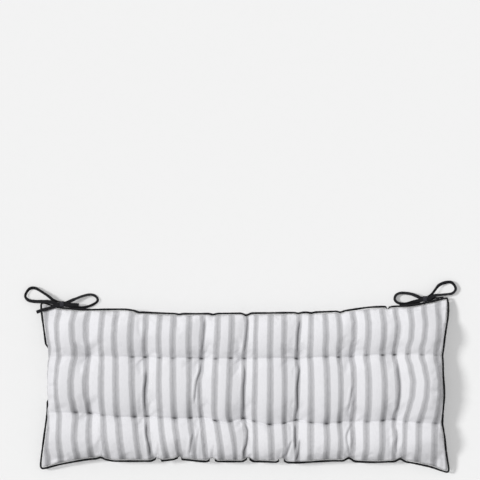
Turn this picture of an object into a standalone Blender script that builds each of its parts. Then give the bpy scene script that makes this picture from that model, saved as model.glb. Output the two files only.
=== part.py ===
"""Bench cushion: a long tufted seat pad in a piped cover, with a pair of tape ties in a bow at each back corner.

The cushion lies flat on its back panel. X runs along the bench, +Y points to the back edge with
the ties, and +Z is up. The origin is on the floor under the middle of the cushion. All sizes are in metres.
"""

import math
from collections import namedtuple

import bpy
import numpy as np

# The cover as cut, and the filled cushion.
CUT_WIDTH = 1.200
CUT_DEPTH = 0.500
SEAM_HEIGHT = 0.028
CORNER_DROP = 0.015
CROWN = 0.044
EDGE_ROUND = 0.080
FLOOR_PRESS = 0.010
CORNER_FLAT = 0.120
CORNER_TUCK = 0.003

# The two rows of tufting, as places on the cloth measured from its middle.
ROW_CLOTH = 0.090
ROW_DEPTH = 0.42
ROW_REACH = 0.090
COLUMN_REACH = 0.075
TUFT_DEPTH = 0.60
TUFT_REACH = 0.050
UNDER_DEPTH = 0.60

# Grid lines of the top face in each cell between creases. The underside has half as many.
ACROSS_CELL = 12
DOWN_BAND = (9, 10, 9)
CROWDING = 0.35

# Piping round the seam.
PIPING_RADIUS = 0.00225
PIPING_SIDES = 6
SEWN_GAP = 0.0003

# Tape of the ties. It is drawn together where it passes through a knot.
TAPE_WIDTH = 0.0085
TAPE_THICK = 0.0015
TAPE_STEP = 0.0048
TAPE_TWIST_STEP = math.radians(11)
LAYER_PITCH = 0.0024
KNOT_DRAW = 0.25
KNOT_REACH = 0.010
WRAP_HALF_DEPTH = 0.0072
WRAP_HALF_HEIGHT = 0.0051
WRAP_SQUARENESS = 3.0
KNOT_TURN = 0.0050

# One row for each crease across the cushion, with the side seams first and last: its place on the
# cloth, its place at the back seam, the two tuft rows and the front seam, how far the tufts
# lie from the middle, how far the front row bows forward in the cell after it, how far the cloth swells
# outwards between the rows, and how deep it creases behind, between and in front of the rows.
Crease = namedtuple(
    "Crease",
    "cloth back back_row front_row front back_tuft front_tuft bow swell deep_back deep_middle deep_front",
)
CREASES = (
    Crease(-0.600, -0.5873, -0.5650, -0.5650, -0.5872, 0.0815, -0.0765, 0.000, 0.000, 0.00, 0.00, 0.00),
    Crease(-0.467, -0.452, -0.452, -0.445, -0.438, 0.0825, -0.0810, 0.006, -0.010, 0.16, 0.18, 0.15),
    Crease(-0.299, -0.285, -0.285, -0.282, -0.270, 0.0795, -0.0900, 0.005, -0.001, 0.20, 0.34, 0.32),
    Crease(-0.131, -0.118, -0.124, -0.124, -0.110, 0.0760, -0.0915, 0.012, -0.003, 0.32, 0.30, 0.32),
    Crease(-0.005, 0.003, -0.004, -0.003, 0.002, 0.0760, -0.0955, 0.014, 0.000, 0.40, 0.36, 0.38),
    Crease(0.163, 0.158, 0.150, 0.147, 0.149, 0.0770, -0.1020, 0.008, 0.003, 0.34, 0.36, 0.34),
    Crease(0.331, 0.315, 0.303, 0.308, 0.311, 0.0820, -0.1035, 0.003, 0.010, 0.22, 0.24, 0.32),
    Crease(0.457, 0.432, 0.428, 0.427, 0.427, 0.0880, -0.1000, 0.002, 0.015, 0.20, 0.32, 0.28),
    Crease(0.600, 0.5865, 0.5660, 0.5660, 0.5864, 0.0860, -0.1120, 0.000, 0.005, 0.00, 0.00, 0.00),
)

# Where the seam lies at the back and at the front, from the left corner to the right one.
Station = namedtuple("Station", "x y")
BACK_SEAM = (
    Station(-0.5875, 0.2372),
    Station(-0.5300, 0.2195),
    Station(-0.4500, 0.2140),
    Station(-0.3500, 0.2150),
    Station(-0.2900, 0.2060),
    Station(-0.1600, 0.2020),
    Station(0.0000, 0.2035),
    Station(0.1500, 0.2055),
    Station(0.2700, 0.2095),
    Station(0.3700, 0.2215),
    Station(0.4600, 0.2245),
    Station(0.5400, 0.2375),
    Station(0.5885, 0.2510),
)
FRONT_SEAM = (
    Station(-0.5875, -0.2400),
    Station(-0.5200, -0.2225),
    Station(-0.4200, -0.2085),
    Station(-0.3700, -0.2155),
    Station(-0.2600, -0.2155),
    Station(-0.1900, -0.2105),
    Station(-0.1100, -0.2165),
    Station(0.0300, -0.2165),
    Station(0.1400, -0.2200),
    Station(0.2600, -0.2145),
    Station(0.3700, -0.2185),
    Station(0.4400, -0.2165),
    Station(0.5200, -0.2285),
    Station(0.5865, -0.2506),
)

# Tucks where the seam is drawn in: place along the seam, depth and half width.
Tuck = namedtuple("Tuck", "x depth half_width")
BACK_TUCKS = (
    Tuck(-0.306, 0.0020, 0.014),
    Tuck(-0.190, 0.0022, 0.014),
    Tuck(-0.092, 0.0030, 0.014),
    Tuck(0.004, 0.0060, 0.017),
    Tuck(0.154, 0.0025, 0.014),
    Tuck(0.191, 0.0025, 0.014),
    Tuck(0.276, 0.0035, 0.015),
    Tuck(0.413, 0.0025, 0.014),
)
FRONT_TUCKS = (
    Tuck(-0.414, 0.0040, 0.016),
    Tuck(-0.256, 0.0060, 0.017),
    Tuck(-0.192, 0.0050, 0.016),
    Tuck(-0.094, 0.0070, 0.018),
    Tuck(0.009, 0.0080, 0.019),
    Tuck(0.106, 0.0085, 0.019),
    Tuck(0.299, 0.0090, 0.020),
    Tuck(0.447, 0.0080, 0.019),
)

# The ties, two tapes at each back corner. Each tape leaves the seam, runs to the knot, makes one loop and
# ends in a tail. One row for each bend: its place, and how far the tape there leans from lying flat.
# The two stems of a corner share their rows, one tape over the other.
Bend = namedtuple("Bend", "x y z lean")
Bow = namedtuple("Bow", "knot side stem far_loop near_tail near_loop far_tail")
KNOT_BOTTOM = 0.0140
LEFT_BOW = Bow(
    knot=Station(-0.528, 0.2330),
    side=-1,
    stem=(
        Bend(-0.5800, 0.2407, 0.0124, -90),
        Bend(-0.5700, 0.2391, 0.0120, -90),
        Bend(-0.5585, 0.2367, 0.0120, -84),
        Bend(-0.5495, 0.2350, 0.0128, -60),
        Bend(-0.5430, 0.2342, 0.0142, -26),
        Bend(-0.5375, 0.2338, 0.0151, -4),
    ),
    far_loop=(
        Bend(-0.5180, 0.2357, 0.0163, 0),
        Bend(-0.5030, 0.2424, 0.0155, 4),
        Bend(-0.4880, 0.2490, 0.0120, 40),
        Bend(-0.4640, 0.2582, 0.0078, 60),
        Bend(-0.4430, 0.2610, 0.0060, 64),
        Bend(-0.4290, 0.2540, 0.0056, 76),
        Bend(-0.4250, 0.2440, 0.0054, 84),
        Bend(-0.4340, 0.2350, 0.0056, 86),
        Bend(-0.4520, 0.2270, 0.0075, 88),
        Bend(-0.4680, 0.2235, 0.0105, 88),
        Bend(-0.4820, 0.2236, 0.0145, 80),
        Bend(-0.4960, 0.2256, 0.0198, 42),
        Bend(-0.5110, 0.2290, 0.0212, 4),
        Bend(-0.5280, 0.2320, 0.0213, 0),
    ),
    near_tail=(
        Bend(-0.5380, 0.2300, 0.0228, 0),
        Bend(-0.5470, 0.2270, 0.0250, 0),
        Bend(-0.5600, 0.2222, 0.0262, 0),
        Bend(-0.5830, 0.2160, 0.0232, 0),
        Bend(-0.6010, 0.2098, 0.0205, 0),
    ),
    near_loop=(
        Bend(-0.5510, 0.2440, 0.0134, 84),
        Bend(-0.5650, 0.2556, 0.0122, 74),
        Bend(-0.5880, 0.2712, 0.0085, 66),
        Bend(-0.6040, 0.2800, 0.0062, 30),
        Bend(-0.6170, 0.2785, 0.0060, 32),
        Bend(-0.6270, 0.2670, 0.0060, 52),
        Bend(-0.6300, 0.2550, 0.0060, 50),
        Bend(-0.6210, 0.2445, 0.0070, 24),
        Bend(-0.6040, 0.2412, 0.0115, 4),
        Bend(-0.5810, 0.2408, 0.0183, 0),
        Bend(-0.5630, 0.2400, 0.0203, 0),
        Bend(-0.5470, 0.2350, 0.0200, 0),
        Bend(-0.5360, 0.2332, 0.0189, 0),
    ),
    far_tail=(
        Bend(-0.5180, 0.2326, 0.0188, 0),
        Bend(-0.5050, 0.2322, 0.0187, 0),
        Bend(-0.4910, 0.2314, 0.0178, 0),
        Bend(-0.4790, 0.2308, 0.0166, 0),
    ),
)
RIGHT_BOW = Bow(
    knot=Station(0.519, 0.2478),
    side=1,
    stem=(
        Bend(0.5730, 0.2529, 0.0124, 90),
        Bend(0.5620, 0.2520, 0.0120, 90),
        Bend(0.5500, 0.2514, 0.0120, 84),
        Bend(0.5405, 0.2500, 0.0128, 60),
        Bend(0.5330, 0.2490, 0.0142, 26),
        Bend(0.5270, 0.2485, 0.0152, 4),
    ),
    far_loop=(
        Bend(0.5080, 0.2502, 0.0163, -2),
        Bend(0.4960, 0.2562, 0.0152, -12),
        Bend(0.4800, 0.2625, 0.0115, -30),
        Bend(0.4620, 0.2655, 0.0080, -34),
        Bend(0.4450, 0.2645, 0.0062, -40),
        Bend(0.4350, 0.2575, 0.0056, -62),
        Bend(0.4330, 0.2465, 0.0056, -66),
        Bend(0.4410, 0.2377, 0.0060, -62),
        Bend(0.4550, 0.2345, 0.0085, -60),
        Bend(0.4700, 0.2356, 0.0125, -62),
        Bend(0.4840, 0.2398, 0.0180, -46),
        Bend(0.4980, 0.2426, 0.0209, -18),
        Bend(0.5100, 0.2452, 0.0213, -2),
        Bend(0.5190, 0.2466, 0.0213, 0),
    ),
    near_tail=(
        Bend(0.5265, 0.2464, 0.0213, -4),
        Bend(0.5330, 0.2446, 0.0198, -40),
        Bend(0.5410, 0.2447, 0.0146, -80),
        Bend(0.5520, 0.2478, 0.0122, -90),
        Bend(0.5600, 0.2490, 0.0118, -90),
    ),
    near_loop=(
        Bend(0.5370, 0.2604, 0.0126, -86),
        Bend(0.5470, 0.2730, 0.0120, -60),
        Bend(0.5590, 0.2880, 0.0095, -26),
        Bend(0.5770, 0.2958, 0.0070, -20),
        Bend(0.5930, 0.2965, 0.0060, -34),
        Bend(0.6030, 0.2860, 0.0058, -56),
        Bend(0.6050, 0.2750, 0.0058, -50),
        Bend(0.5960, 0.2650, 0.0066, -46),
        Bend(0.5800, 0.2618, 0.0092, -50),
        Bend(0.5620, 0.2600, 0.0140, -48),
        Bend(0.5450, 0.2575, 0.0190, -14),
        Bend(0.5310, 0.2508, 0.0192, 0),
    ),
    far_tail=(
        Bend(0.5090, 0.2448, 0.0187, 0),
        Bend(0.4970, 0.2384, 0.0150, 2),
        Bend(0.4870, 0.2332, 0.0118, 50),
        Bend(0.4760, 0.2312, 0.0102, 68),
        Bend(0.4620, 0.2303, 0.0092, 70),
        Bend(0.4460, 0.2296, 0.0080, 64),
    ),
)

CLOTH_GREY = (0.78, 0.78, 0.80)
TRIM_CHARCOAL = (0.028, 0.028, 0.032)


def clear_scene():
    for obj in list(bpy.data.objects):
        bpy.data.objects.remove(obj)


def fabric(name, colour, roughness):
    material = bpy.data.materials.new(name)
    material.use_nodes = True
    shader = material.node_tree.nodes["Principled BSDF"]
    shader.inputs["Base Color"].default_value = (*colour, 1.0)
    shader.inputs["Roughness"].default_value = roughness
    shader.inputs["Metallic"].default_value = 0.0
    return material


def smooth_through(x, knots, values):
    """A curve through the knots that never overshoots them, flat at its ends."""
    knots = np.asarray(knots, float)
    values = np.asarray(values, float)
    slope = np.diff(values) / np.diff(knots)
    before, after = slope[:-1], slope[1:]
    same_way = before * after > 0
    mean = np.where(same_way, 2 * before * after / np.where(same_way, before + after, 1.0), 0.0)
    tangent = np.concatenate([slope[:1], mean, slope[-1:]])
    x = np.clip(x, knots[0], knots[-1])
    i = np.clip(np.searchsorted(knots, x, side="right") - 1, 0, len(knots) - 2)
    span = knots[i + 1] - knots[i]
    t = (x - knots[i]) / span
    rise = values[i + 1] - values[i]
    start = tangent[i] * span
    end = tangent[i + 1] * span
    return values[i] + start * t + (3 * rise - 2 * start - end) * t**2 + (start + end - 2 * rise) * t**3


def seam_line(x, stations, tucks, inward):
    """Where the seam lies at x, with its tucks drawn inward."""
    y = smooth_through(x, [s.x for s in stations], [s.y for s in stations])
    for tuck in tucks:
        near = np.clip(np.abs(x - tuck.x) / tuck.half_width, 0, 1)
        y = y + inward * tuck.depth * (1 + np.cos(math.pi * near)) / 2
    return y


def of_creases(u, field):
    """A value of the crease table, taken straight across each cell."""
    return np.interp(u, [c.cloth for c in CREASES], [getattr(c, field) for c in CREASES])


def cell_share(u):
    """How far across its cell a place on the cloth lies, from 0 to 1, and the cell's number."""
    cloth = np.array([c.cloth for c in CREASES])
    i = np.clip(np.searchsorted(cloth, u, side="right") - 1, 0, len(cloth) - 2)
    return (u - cloth[i]) / (cloth[i + 1] - cloth[i]), i


def level_places(u):
    """x and y at the back seam, the back row, the front row and the front seam."""
    share, cell = cell_share(u)
    x = [of_creases(u, field) for field in ("back", "back_row", "front_row", "front")]
    bow = np.array([c.bow for c in CREASES])[cell] * np.sin(math.pi * share)
    y = [
        seam_line(x[0], BACK_SEAM, BACK_TUCKS, -1),
        of_creases(u, "back_tuft"),
        of_creases(u, "front_tuft") - bow,
        seam_line(x[3], FRONT_SEAM, FRONT_TUCKS, 1),
    ]
    return x, y


def plan(u, v):
    """Where a place (u, v) on the cloth lies, seen from above."""
    x, y = level_places(u)
    levels = (CUT_DEPTH / 2, ROW_CLOTH, -ROW_CLOTH, -CUT_DEPTH / 2)
    swell = of_creases(u, "swell") + 0.010 * np.sin(math.pi * np.clip((np.abs(u) - 0.46) / 0.14, 0, 1)) * np.sign(u)
    swells = (0.6 * swell, swell, 0.5 * np.minimum(swell, 0))
    at_x = np.zeros(np.broadcast(u, v).shape)
    at_y = np.zeros_like(at_x)
    for band in range(3):
        high, low = levels[band], levels[band + 1]
        inside = (v <= high) & (v >= low)
        t = np.clip((high - v) / (high - low), 0, 1)
        arc = swells[band] * 4 * t * (1 - t)
        at_x = np.where(inside, x[band] + (x[band + 1] - x[band]) * t + arc, at_x)
        at_y = np.where(inside, y[band] + (y[band + 1] - y[band]) * t, at_y)
    corner = np.clip(np.abs(u) / (CUT_WIDTH / 2), 0, 1) ** 60 * np.clip(np.abs(v) / (CUT_DEPTH / 2), 0, 1) ** 26
    return at_x - np.sign(u) * CORNER_TUCK * corner, at_y - np.sign(v) * CORNER_TUCK * corner


def edge_rise(distance):
    """The round rise of a filled edge, from 0 at the seam to 1 inside."""
    away = 1 - np.clip(distance / EDGE_ROUND, 0, 1)
    return np.sqrt(1 - away**2)


def smooth_step(share):
    share = np.clip(share, 0, 1)
    return share * share * (3 - 2 * share)


def fullness(u, v):
    """How full the cushion is over a place on the cloth, from 0 at the seam to 1 on a crown."""
    to_side, to_seam = CUT_WIDTH / 2 - np.abs(u), CUT_DEPTH / 2 - np.abs(v)
    full = edge_rise(to_side) * edge_rise(to_seam)
    full = full * smooth_step(np.hypot(to_side, to_seam) / CORNER_FLAT)
    to_row = np.abs(np.abs(v) - ROW_CLOTH)
    full = full * (1 - ROW_DEPTH * np.clip(1 - to_row / ROW_REACH, 0, 1) ** 2.5)
    for crease in CREASES[1:-1]:
        to_crease = np.abs(u - crease.cloth)
        deep = np.interp(
            -v, (-ROW_CLOTH * 2, 0, ROW_CLOTH * 2), (crease.deep_back, crease.deep_middle, crease.deep_front)
        )
        full = full * (1 - deep * np.clip(1 - to_crease / COLUMN_REACH, 0, 1) ** 3)
        to_tuft = np.hypot(to_crease, to_row)
        full = full * (1 - TUFT_DEPTH * np.clip(1 - to_tuft / TUFT_REACH, 0, 1) ** 2)
    return full


def seam_height(u, v):
    """Height of the seam, which sinks towards the thin corners."""
    cornered = (np.abs(u) / (CUT_WIDTH / 2)) ** 8 * (np.abs(v) / (CUT_DEPTH / 2)) ** 4
    return SEAM_HEIGHT - CORNER_DROP * cornered


def top_height(u, v):
    return seam_height(u, v) + CROWN * fullness(u, v)


def under_height(u, v):
    """The underside, which the floor presses flat under each pillow."""
    seam = seam_height(u, v)
    return np.maximum(0.0, seam - (seam + FLOOR_PRESS) * fullness(u, v) ** UNDER_DEPTH)


def crowded(low, high, count):
    """Grid lines from low to high, closer together at both ends. The last one is left to the next cell."""
    t = np.arange(count) / count
    return low + (high - low) * (t - CROWDING * np.sin(2 * math.pi * t) / (2 * math.pi))


def grid_lines():
    cloth = [c.cloth for c in CREASES]
    u = np.concatenate([crowded(a, b, ACROSS_CELL) for a, b in zip(cloth, cloth[1:])] + [cloth[-1:]])
    levels = (-CUT_DEPTH / 2, -ROW_CLOTH, ROW_CLOTH, CUT_DEPTH / 2)
    v = np.concatenate(
        [crowded(a, b, n) for a, b, n in zip(levels, levels[1:], DOWN_BAND)] + [levels[-1:]]
    )
    return u, v


def rim_indices(last_u, last_v):
    """Grid indices once round the seam, counter-clockwise seen from above."""
    front = [(i, 0) for i in range(last_u)]
    right = [(last_u, j) for j in range(last_v)]
    back = [(i, last_v) for i in range(last_u, 0, -1)]
    left = [(0, j) for j in range(last_v, 0, -1)]
    return front + right + back + left


def mesh_object(name, points, faces, material):
    mesh = bpy.data.meshes.new(name)
    mesh.from_pydata([tuple(p) for p in points], [], faces)
    mesh.update()
    mesh.shade_smooth()
    mesh.materials.append(material)
    obj = bpy.data.objects.new(name, mesh)
    bpy.context.scene.collection.objects.link(obj)
    return obj


def make_cushion(material):
    """Top and underside as two grids that share the seam. The underside has every second line."""
    u, v = grid_lines()
    last_u, last_v = len(u) - 1, len(v) - 1
    uu, vv = np.meshgrid(u, v, indexing="ij")
    x, y = plan(uu, vv)
    top, under = top_height(uu, vv), under_height(uu, vv)
    points = []
    top_at = {}
    under_at = {}
    for i in range(last_u + 1):
        for j in range(last_v + 1):
            on_rim = i in (0, last_u) or j in (0, last_v)
            top_at[i, j] = len(points)
            points.append((x[i, j], y[i, j], top[i, j]))
            if on_rim:
                under_at[i, j] = top_at[i, j]
            elif i % 2 == 0 and j % 2 == 0:
                under_at[i, j] = len(points)
                points.append((x[i, j], y[i, j], under[i, j]))
    faces = []
    for i in range(last_u):
        for j in range(last_v):
            faces.append((top_at[i, j], top_at[i + 1, j], top_at[i + 1, j + 1], top_at[i, j + 1]))
    for i in range(0, last_u, 2):
        for j in range(0, last_v, 2):
            around = [(i, j), (i, j + 1), (i, j + 2), (i + 1, j + 2), (i + 2, j + 2), (i + 2, j + 1), (i + 2, j), (i + 1, j)]
            faces.append(tuple(under_at[at] for at in around if at in under_at))
    return mesh_object("cushion", points, faces, material)


def seam_points():
    """The seam's points in order round the cushion, and the outward direction at each."""
    u, v = grid_lines()
    rim = rim_indices(len(u) - 1, len(v) - 1)
    rim_u = np.array([u[i] for i, _ in rim])
    rim_v = np.array([v[j] for _, j in rim])
    x, y = plan(rim_u, rim_v)
    line = np.stack([x, y, seam_height(rim_u, rim_v)], axis=1)
    along = np.roll(line, -1, axis=0) - np.roll(line, 1, axis=0)
    outward = np.stack([along[:, 1], -along[:, 0], np.zeros(len(line))], axis=1)
    return line, outward / np.linalg.norm(outward, axis=1)[:, None]


def make_piping(material):
    """A closed cord just outside the seam."""
    line, outward = seam_points()
    centre = line + outward * (PIPING_RADIUS + SEWN_GAP)
    points = []
    faces = []
    count = len(line)
    for n in range(count):
        for k in range(PIPING_SIDES):
            turn = 2 * math.pi * (k + 0.5) / PIPING_SIDES
            away = outward[n] * math.cos(turn) + np.array([0, 0, 1]) * math.sin(turn)
            points.append(centre[n] + away * PIPING_RADIUS)
    for n in range(count):
        after = (n + 1) % count
        for k in range(PIPING_SIDES):
            turned = (k + 1) % PIPING_SIDES
            faces.append(
                (
                    n * PIPING_SIDES + turned,
                    n * PIPING_SIDES + k,
                    after * PIPING_SIDES + k,
                    after * PIPING_SIDES + turned,
                )
            )
    return mesh_object("piping", points, faces, material)


def along_line(points):
    """Unit directions along a line of points."""
    ahead = np.vstack([points[1:], points[-1:]]) - np.vstack([points[:1], points[:-1]])
    return ahead / np.linalg.norm(ahead, axis=1)[:, None]


def lying(bends, layer=0.0):
    """Places and width directions of a tape at its bends, moved up by so many layers of tape."""
    places = np.array([(b.x, b.y, b.z) for b in bends])
    along = along_line(places)
    across = np.cross(along, (0, 0, 1))
    across /= np.linalg.norm(across, axis=1)[:, None]
    lean = np.radians([b.lean for b in bends])[:, None]
    width = across * np.cos(lean) + np.cross(across, along) * np.sin(lean)
    return places + np.cross(width, along) * layer * LAYER_PITCH, width


def knot_wrap(bow):
    """The turn of tape that holds the knot: under the other layers, up in front, over them and down behind."""
    middle = KNOT_BOTTOM + WRAP_HALF_HEIGHT
    rows = []
    for degrees in (0, 30, 60):
        ahead, aside = math.cos(math.radians(degrees)), math.sin(math.radians(degrees))
        x, y = -0.0055 + KNOT_TURN * aside, -0.0040 + KNOT_TURN * ahead
        rows.append((x, y, KNOT_BOTTOM, -aside, -ahead, 0.0))
    for degrees in range(-60, 181, 30):
        across, up = math.cos(math.radians(degrees)), math.sin(math.radians(degrees))
        y = -math.copysign(abs(across) ** (2 / WRAP_SQUARENESS), across) * WRAP_HALF_DEPTH
        z = math.copysign(abs(up) ** (2 / WRAP_SQUARENESS), up) * WRAP_HALF_HEIGHT
        rows.append((0.0, y, middle + z, -1.0, 0.0, 0.0))
    for degrees in (30, 60, 90):
        down, back = math.cos(math.radians(degrees)), math.sin(math.radians(degrees))
        rows.append((KNOT_TURN * (down - 1), WRAP_HALF_DEPTH + 0.0002, middle - KNOT_TURN * back, -down, 0.0, back))
    rows = np.array(rows)
    places = np.column_stack([bow.knot.x - bow.side * rows[:, 0], bow.knot.y + rows[:, 1], rows[:, 2]])
    return places, rows[:, 3:] * (1, -bow.side, -bow.side)


def through_bends(places, widths):
    """A smooth line through the bends with a point every TAPE_STEP, and the width direction at each."""
    chord = np.linalg.norm(np.diff(places, axis=0), axis=1)
    at = np.concatenate([[0], np.cumsum(np.sqrt(chord))])
    slope = np.gradient(places, at, axis=0)
    line, facing = [], []
    for i, length in enumerate(chord):
        twist = math.acos(np.clip(np.dot(widths[i], widths[i + 1]), -1, 1))
        steps = max(1, round(length / TAPE_STEP), round(twist / TAPE_TWIST_STEP))
        for t in np.arange(steps) / steps:
            span = at[i + 1] - at[i]
            rise = places[i + 1] - places[i]
            start, end = slope[i] * span, slope[i + 1] * span
            line.append(places[i] + start * t + (3 * rise - 2 * start - end) * t**2 + (start + end - 2 * rise) * t**3)
            facing.append(widths[i] + (widths[i + 1] - widths[i]) * t)
    line.append(places[-1])
    facing.append(widths[-1])
    return np.array(line), np.array(facing)


def make_tape(name, bow, pieces, material):
    """A flat tape along its pieces, each a pair of places and width directions."""
    line, facing = through_bends(np.vstack([p[0] for p in pieces]), np.vstack([p[1] for p in pieces]))
    along = along_line(line)
    facing -= along * np.sum(facing * along, axis=1)[:, None]
    facing /= np.linalg.norm(facing, axis=1)[:, None]
    normal = np.cross(facing, along)
    from_knot = np.hypot(line[:, 0] - bow.knot.x, line[:, 1] - bow.knot.y)
    half_width = (TAPE_WIDTH / 2 * (1 - KNOT_DRAW * np.exp(-((from_knot / KNOT_REACH) ** 2))))[:, None]
    corners = [(-1, -1), (1, -1), (1, 1), (-1, 1)]
    rings = [line + facing * half_width * w + normal * TAPE_THICK / 2 * n for w, n in corners]
    points = np.stack(rings, axis=1).reshape(-1, 3)
    last = 4 * (len(line) - 1)
    faces = [(0, 1, 2, 3), (last + 3, last + 2, last + 1, last)]
    for n in range(0, last, 4):
        for k in range(4):
            turned = (k + 1) % 4
            faces.append((n + turned, n + k, n + k + 4, n + turned + 4))
    tape = mesh_object(name, points, faces, material)
    tape.data.set_sharp_from_angle(angle=math.radians(50))
    return tape


def make_bow(label, bow, material):
    """Two tapes tied together. One makes the far loop. The other wraps the knot and makes the near loop."""
    far = [lying(bow.stem, 0.5), lying(bow.far_loop), lying(bow.near_tail)]
    near = [lying(bow.stem, -0.5), knot_wrap(bow), lying(bow.near_loop), lying(bow.far_tail)]
    make_tape(f"tie_{label}_far", bow, far, material)
    make_tape(f"tie_{label}_near", bow, near, material)


def main():
    clear_scene()
    ticking = fabric("ticking", CLOTH_GREY, 0.85)
    trim = fabric("trim", TRIM_CHARCOAL, 0.80)
    make_cushion(ticking)
    make_piping(trim)
    make_bow("left", LEFT_BOW, trim)
    make_bow("right", RIGHT_BOW, trim)


main()
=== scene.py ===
"""A bench cushion: striped cover, piping, stitched tufts and four tape ties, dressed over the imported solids."""
import math
from collections import namedtuple

import bpy
import numpy as np
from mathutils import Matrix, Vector


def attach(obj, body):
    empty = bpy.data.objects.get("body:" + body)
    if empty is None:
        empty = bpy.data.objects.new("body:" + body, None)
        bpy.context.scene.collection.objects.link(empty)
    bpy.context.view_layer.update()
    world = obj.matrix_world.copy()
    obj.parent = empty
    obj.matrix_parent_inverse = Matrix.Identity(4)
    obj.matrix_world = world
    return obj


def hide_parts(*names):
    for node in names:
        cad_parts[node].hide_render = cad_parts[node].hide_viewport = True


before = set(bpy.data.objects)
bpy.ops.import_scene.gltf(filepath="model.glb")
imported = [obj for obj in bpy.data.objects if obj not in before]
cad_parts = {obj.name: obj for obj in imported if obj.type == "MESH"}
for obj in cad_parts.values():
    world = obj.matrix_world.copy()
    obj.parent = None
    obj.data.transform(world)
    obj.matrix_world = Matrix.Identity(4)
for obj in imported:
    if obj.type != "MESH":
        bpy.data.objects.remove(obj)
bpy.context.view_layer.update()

# The cover as cut, and the filled cushion.
CUT_WIDTH = 1.200
CUT_DEPTH = 0.500
SEAM_HEIGHT = 0.028
CORNER_DROP = 0.015
CROWN = 0.044
EDGE_ROUND = 0.080
FLOOR_PRESS = 0.010
CORNER_FLAT = 0.120
CORNER_TUCK = 0.003
END_SWELL = 0.010
END_SWELL_FROM = 0.46
END_SWELL_LENGTH = 0.14

# The two rows of tufting, as places on the cloth measured from its middle.
ROW_CLOTH = 0.090
ROW_DEPTH = 0.42
BACK_ROW_SHARE = 0.66
ROW_REACH = 0.090
ROW_SHARPNESS = 1.9
COLUMN_SHARPNESS = 1.8
COLUMN_SHARE = 0.85
SIDE_FIRMNESS = 1.35
COLUMN_REACH = 0.075
TUFT_DEPTH = 0.60
TUFT_REACH = 0.050
UNDER_DEPTH = 0.60

# The sewing of each row wanders this far to either side, in waves, and draws a fine groove.
ROW_WANDER = 0.0012
ROW_WAVE = 47.0
GROOVE_AT_BACK = 0.0010
GROOVE_IN_FRONT = 0.0015
GROOVE_WIDTH = 0.0035

# The dark stitch on each stripe, thread with painted shade of its pucker round it, how far it strays from the middle
# of the stripe, and the thin line of the row, painted shade along its groove.
STITCH_LENGTH = 0.0062
STITCH_HEIGHT = 0.0029
STITCH_STRAY = 0.005
ROW_LINE_WIDTH = 0.0012
ROW_LINE_SHADE = 0.05

# Grid of the sewn cover, and the cloth settings for filling it.
ACROSS = 208
DOWN = 88
CLOTH_EASE = 0.03
MOST_SWELL = 0.006
FILL_FRAMES = 20
FILL_PRESSURE = 4
FILL_QUALITY = 6
CLOTH_MASS = 0.05
THREAD_STIFFNESS = 15
SHEAR_STIFFNESS = 5
BEND_STIFFNESS = 0.02
HELD_AT_SEAM = 0.004
HELD_AT_ROW = 0.004
HELD_AT_TUFT = 0.006
LEAST_HELD = 0.01

# Small folds: gathers that run in from the seams, the rolled edge beside them, spokes round the tufts
# and fans of ridges at the tucks of the front seam.
GATHER_LIFT = 0.0008
GATHER_PITCHES = (0.031, 0.0173)
GATHER_REACH = 0.020
SIDE_GATHER_PITCHES = (0.026, 0.015)
SIDE_GATHER_REACH = 0.018
GATHER_START = 0.006
GATHER_END = 0.05
EDGE_ROLL = 0.0014
SIDE_ROLL = 0.0012
ROLL_AT = 0.0085
ROLL_WIDTH = 0.0028
SPOKE_LIFT = 0.0006
SPOKE_AT = 0.016
SPOKE_WIDTH = 0.013
FAN_SHARE = 0.28
FAN_AT = 0.014
FAN_WIDTH = 0.012
FAN_BEHIND = 0.004

# The left side bulges over its seam: how far, where the bulge is highest, measured from the side, and from where
# to where along the side, with the length over which it grows and fades.
BULGE = 0.0078
BULGE_AT = 0.010
BULGE_WIDTH = 0.012
BULGE_FROM, BULGE_GROWS = -0.155, 0.08
BULGE_TO, BULGE_FADES = 0.125, 0.07

# How painted shade from the stitches, the folds and the front seam darkens the stripes, with painted shade towards
# the left end, and how deep a stitch pulls the cloth in.
STITCH_SINK = 0.0022
PULL_BEHIND = 0.038
PULL_AHEAD = 0.007
PULL_FARTHEST = 0.15
PULL_WIDTH = 0.0090
PULL_SHADE = 0.72
SEAM_SHADE = 0.90
SEAM_SHADE_REACH = 0.026
SEAM_SHADE_WIDTH = 0.0095
FOLD_SHADE = 0.35
FOLD_LINE_REACH = 0.007
DEEP_FOLD = 0.0055
END_SHADE = 0.15
END_SHADE_REACH = 0.024

# Piping, and how far it sinks into the cover: in a hidden stretch, under the bulge and along the right side.
PIPING_RADIUS = 0.0028
PIPING_SIDES = 12
PIPING_STEP = 0.0022
SEWN_GAP = 0.0003
SUNK_IN_TUCK = 0.0068
SUNK_IN_BULGE = 0.0066
SUNK_AT_RIGHT = 0.0012
SUNK_WAVE = 0.0010
SUNK_UNDER_BULGE = (-0.050, 0.120)
SUNK_GRADUAL = 0.016

# Tape. The leans are in degrees, and a negative draw makes the tape wider at the knot.
TAPE_WIDTH = 0.0095
TAPE_THICK = 0.0012
TAPE_STEP = 0.0012
TAPE_SECTION = ((-1.0, -0.3), (-0.92, -0.5), (-0.5, -0.40), (0.0, -0.38), (0.5, -0.40), (0.92, -0.5), (1.0, -0.3))
LAYER_PITCH = 0.0024
LOOP_STRETCH = 1.04
MOST_LEAN = 46.0
MOST_STEM_LEAN = 84.0
KNOT_FLATTEN = 24.0
FLATTEN_REACH = 0.04
KNOT_DRAW = -0.20
KNOT_REACH = 0.010
WRAP_HALF_DEPTH = 0.0079
WRAP_HALF_HEIGHT = 0.0051
WRAP_SQUARENESS = 3.0
WRAP_START = (-0.0055, -0.0040)
KNOT_TURN = 0.0050

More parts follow.
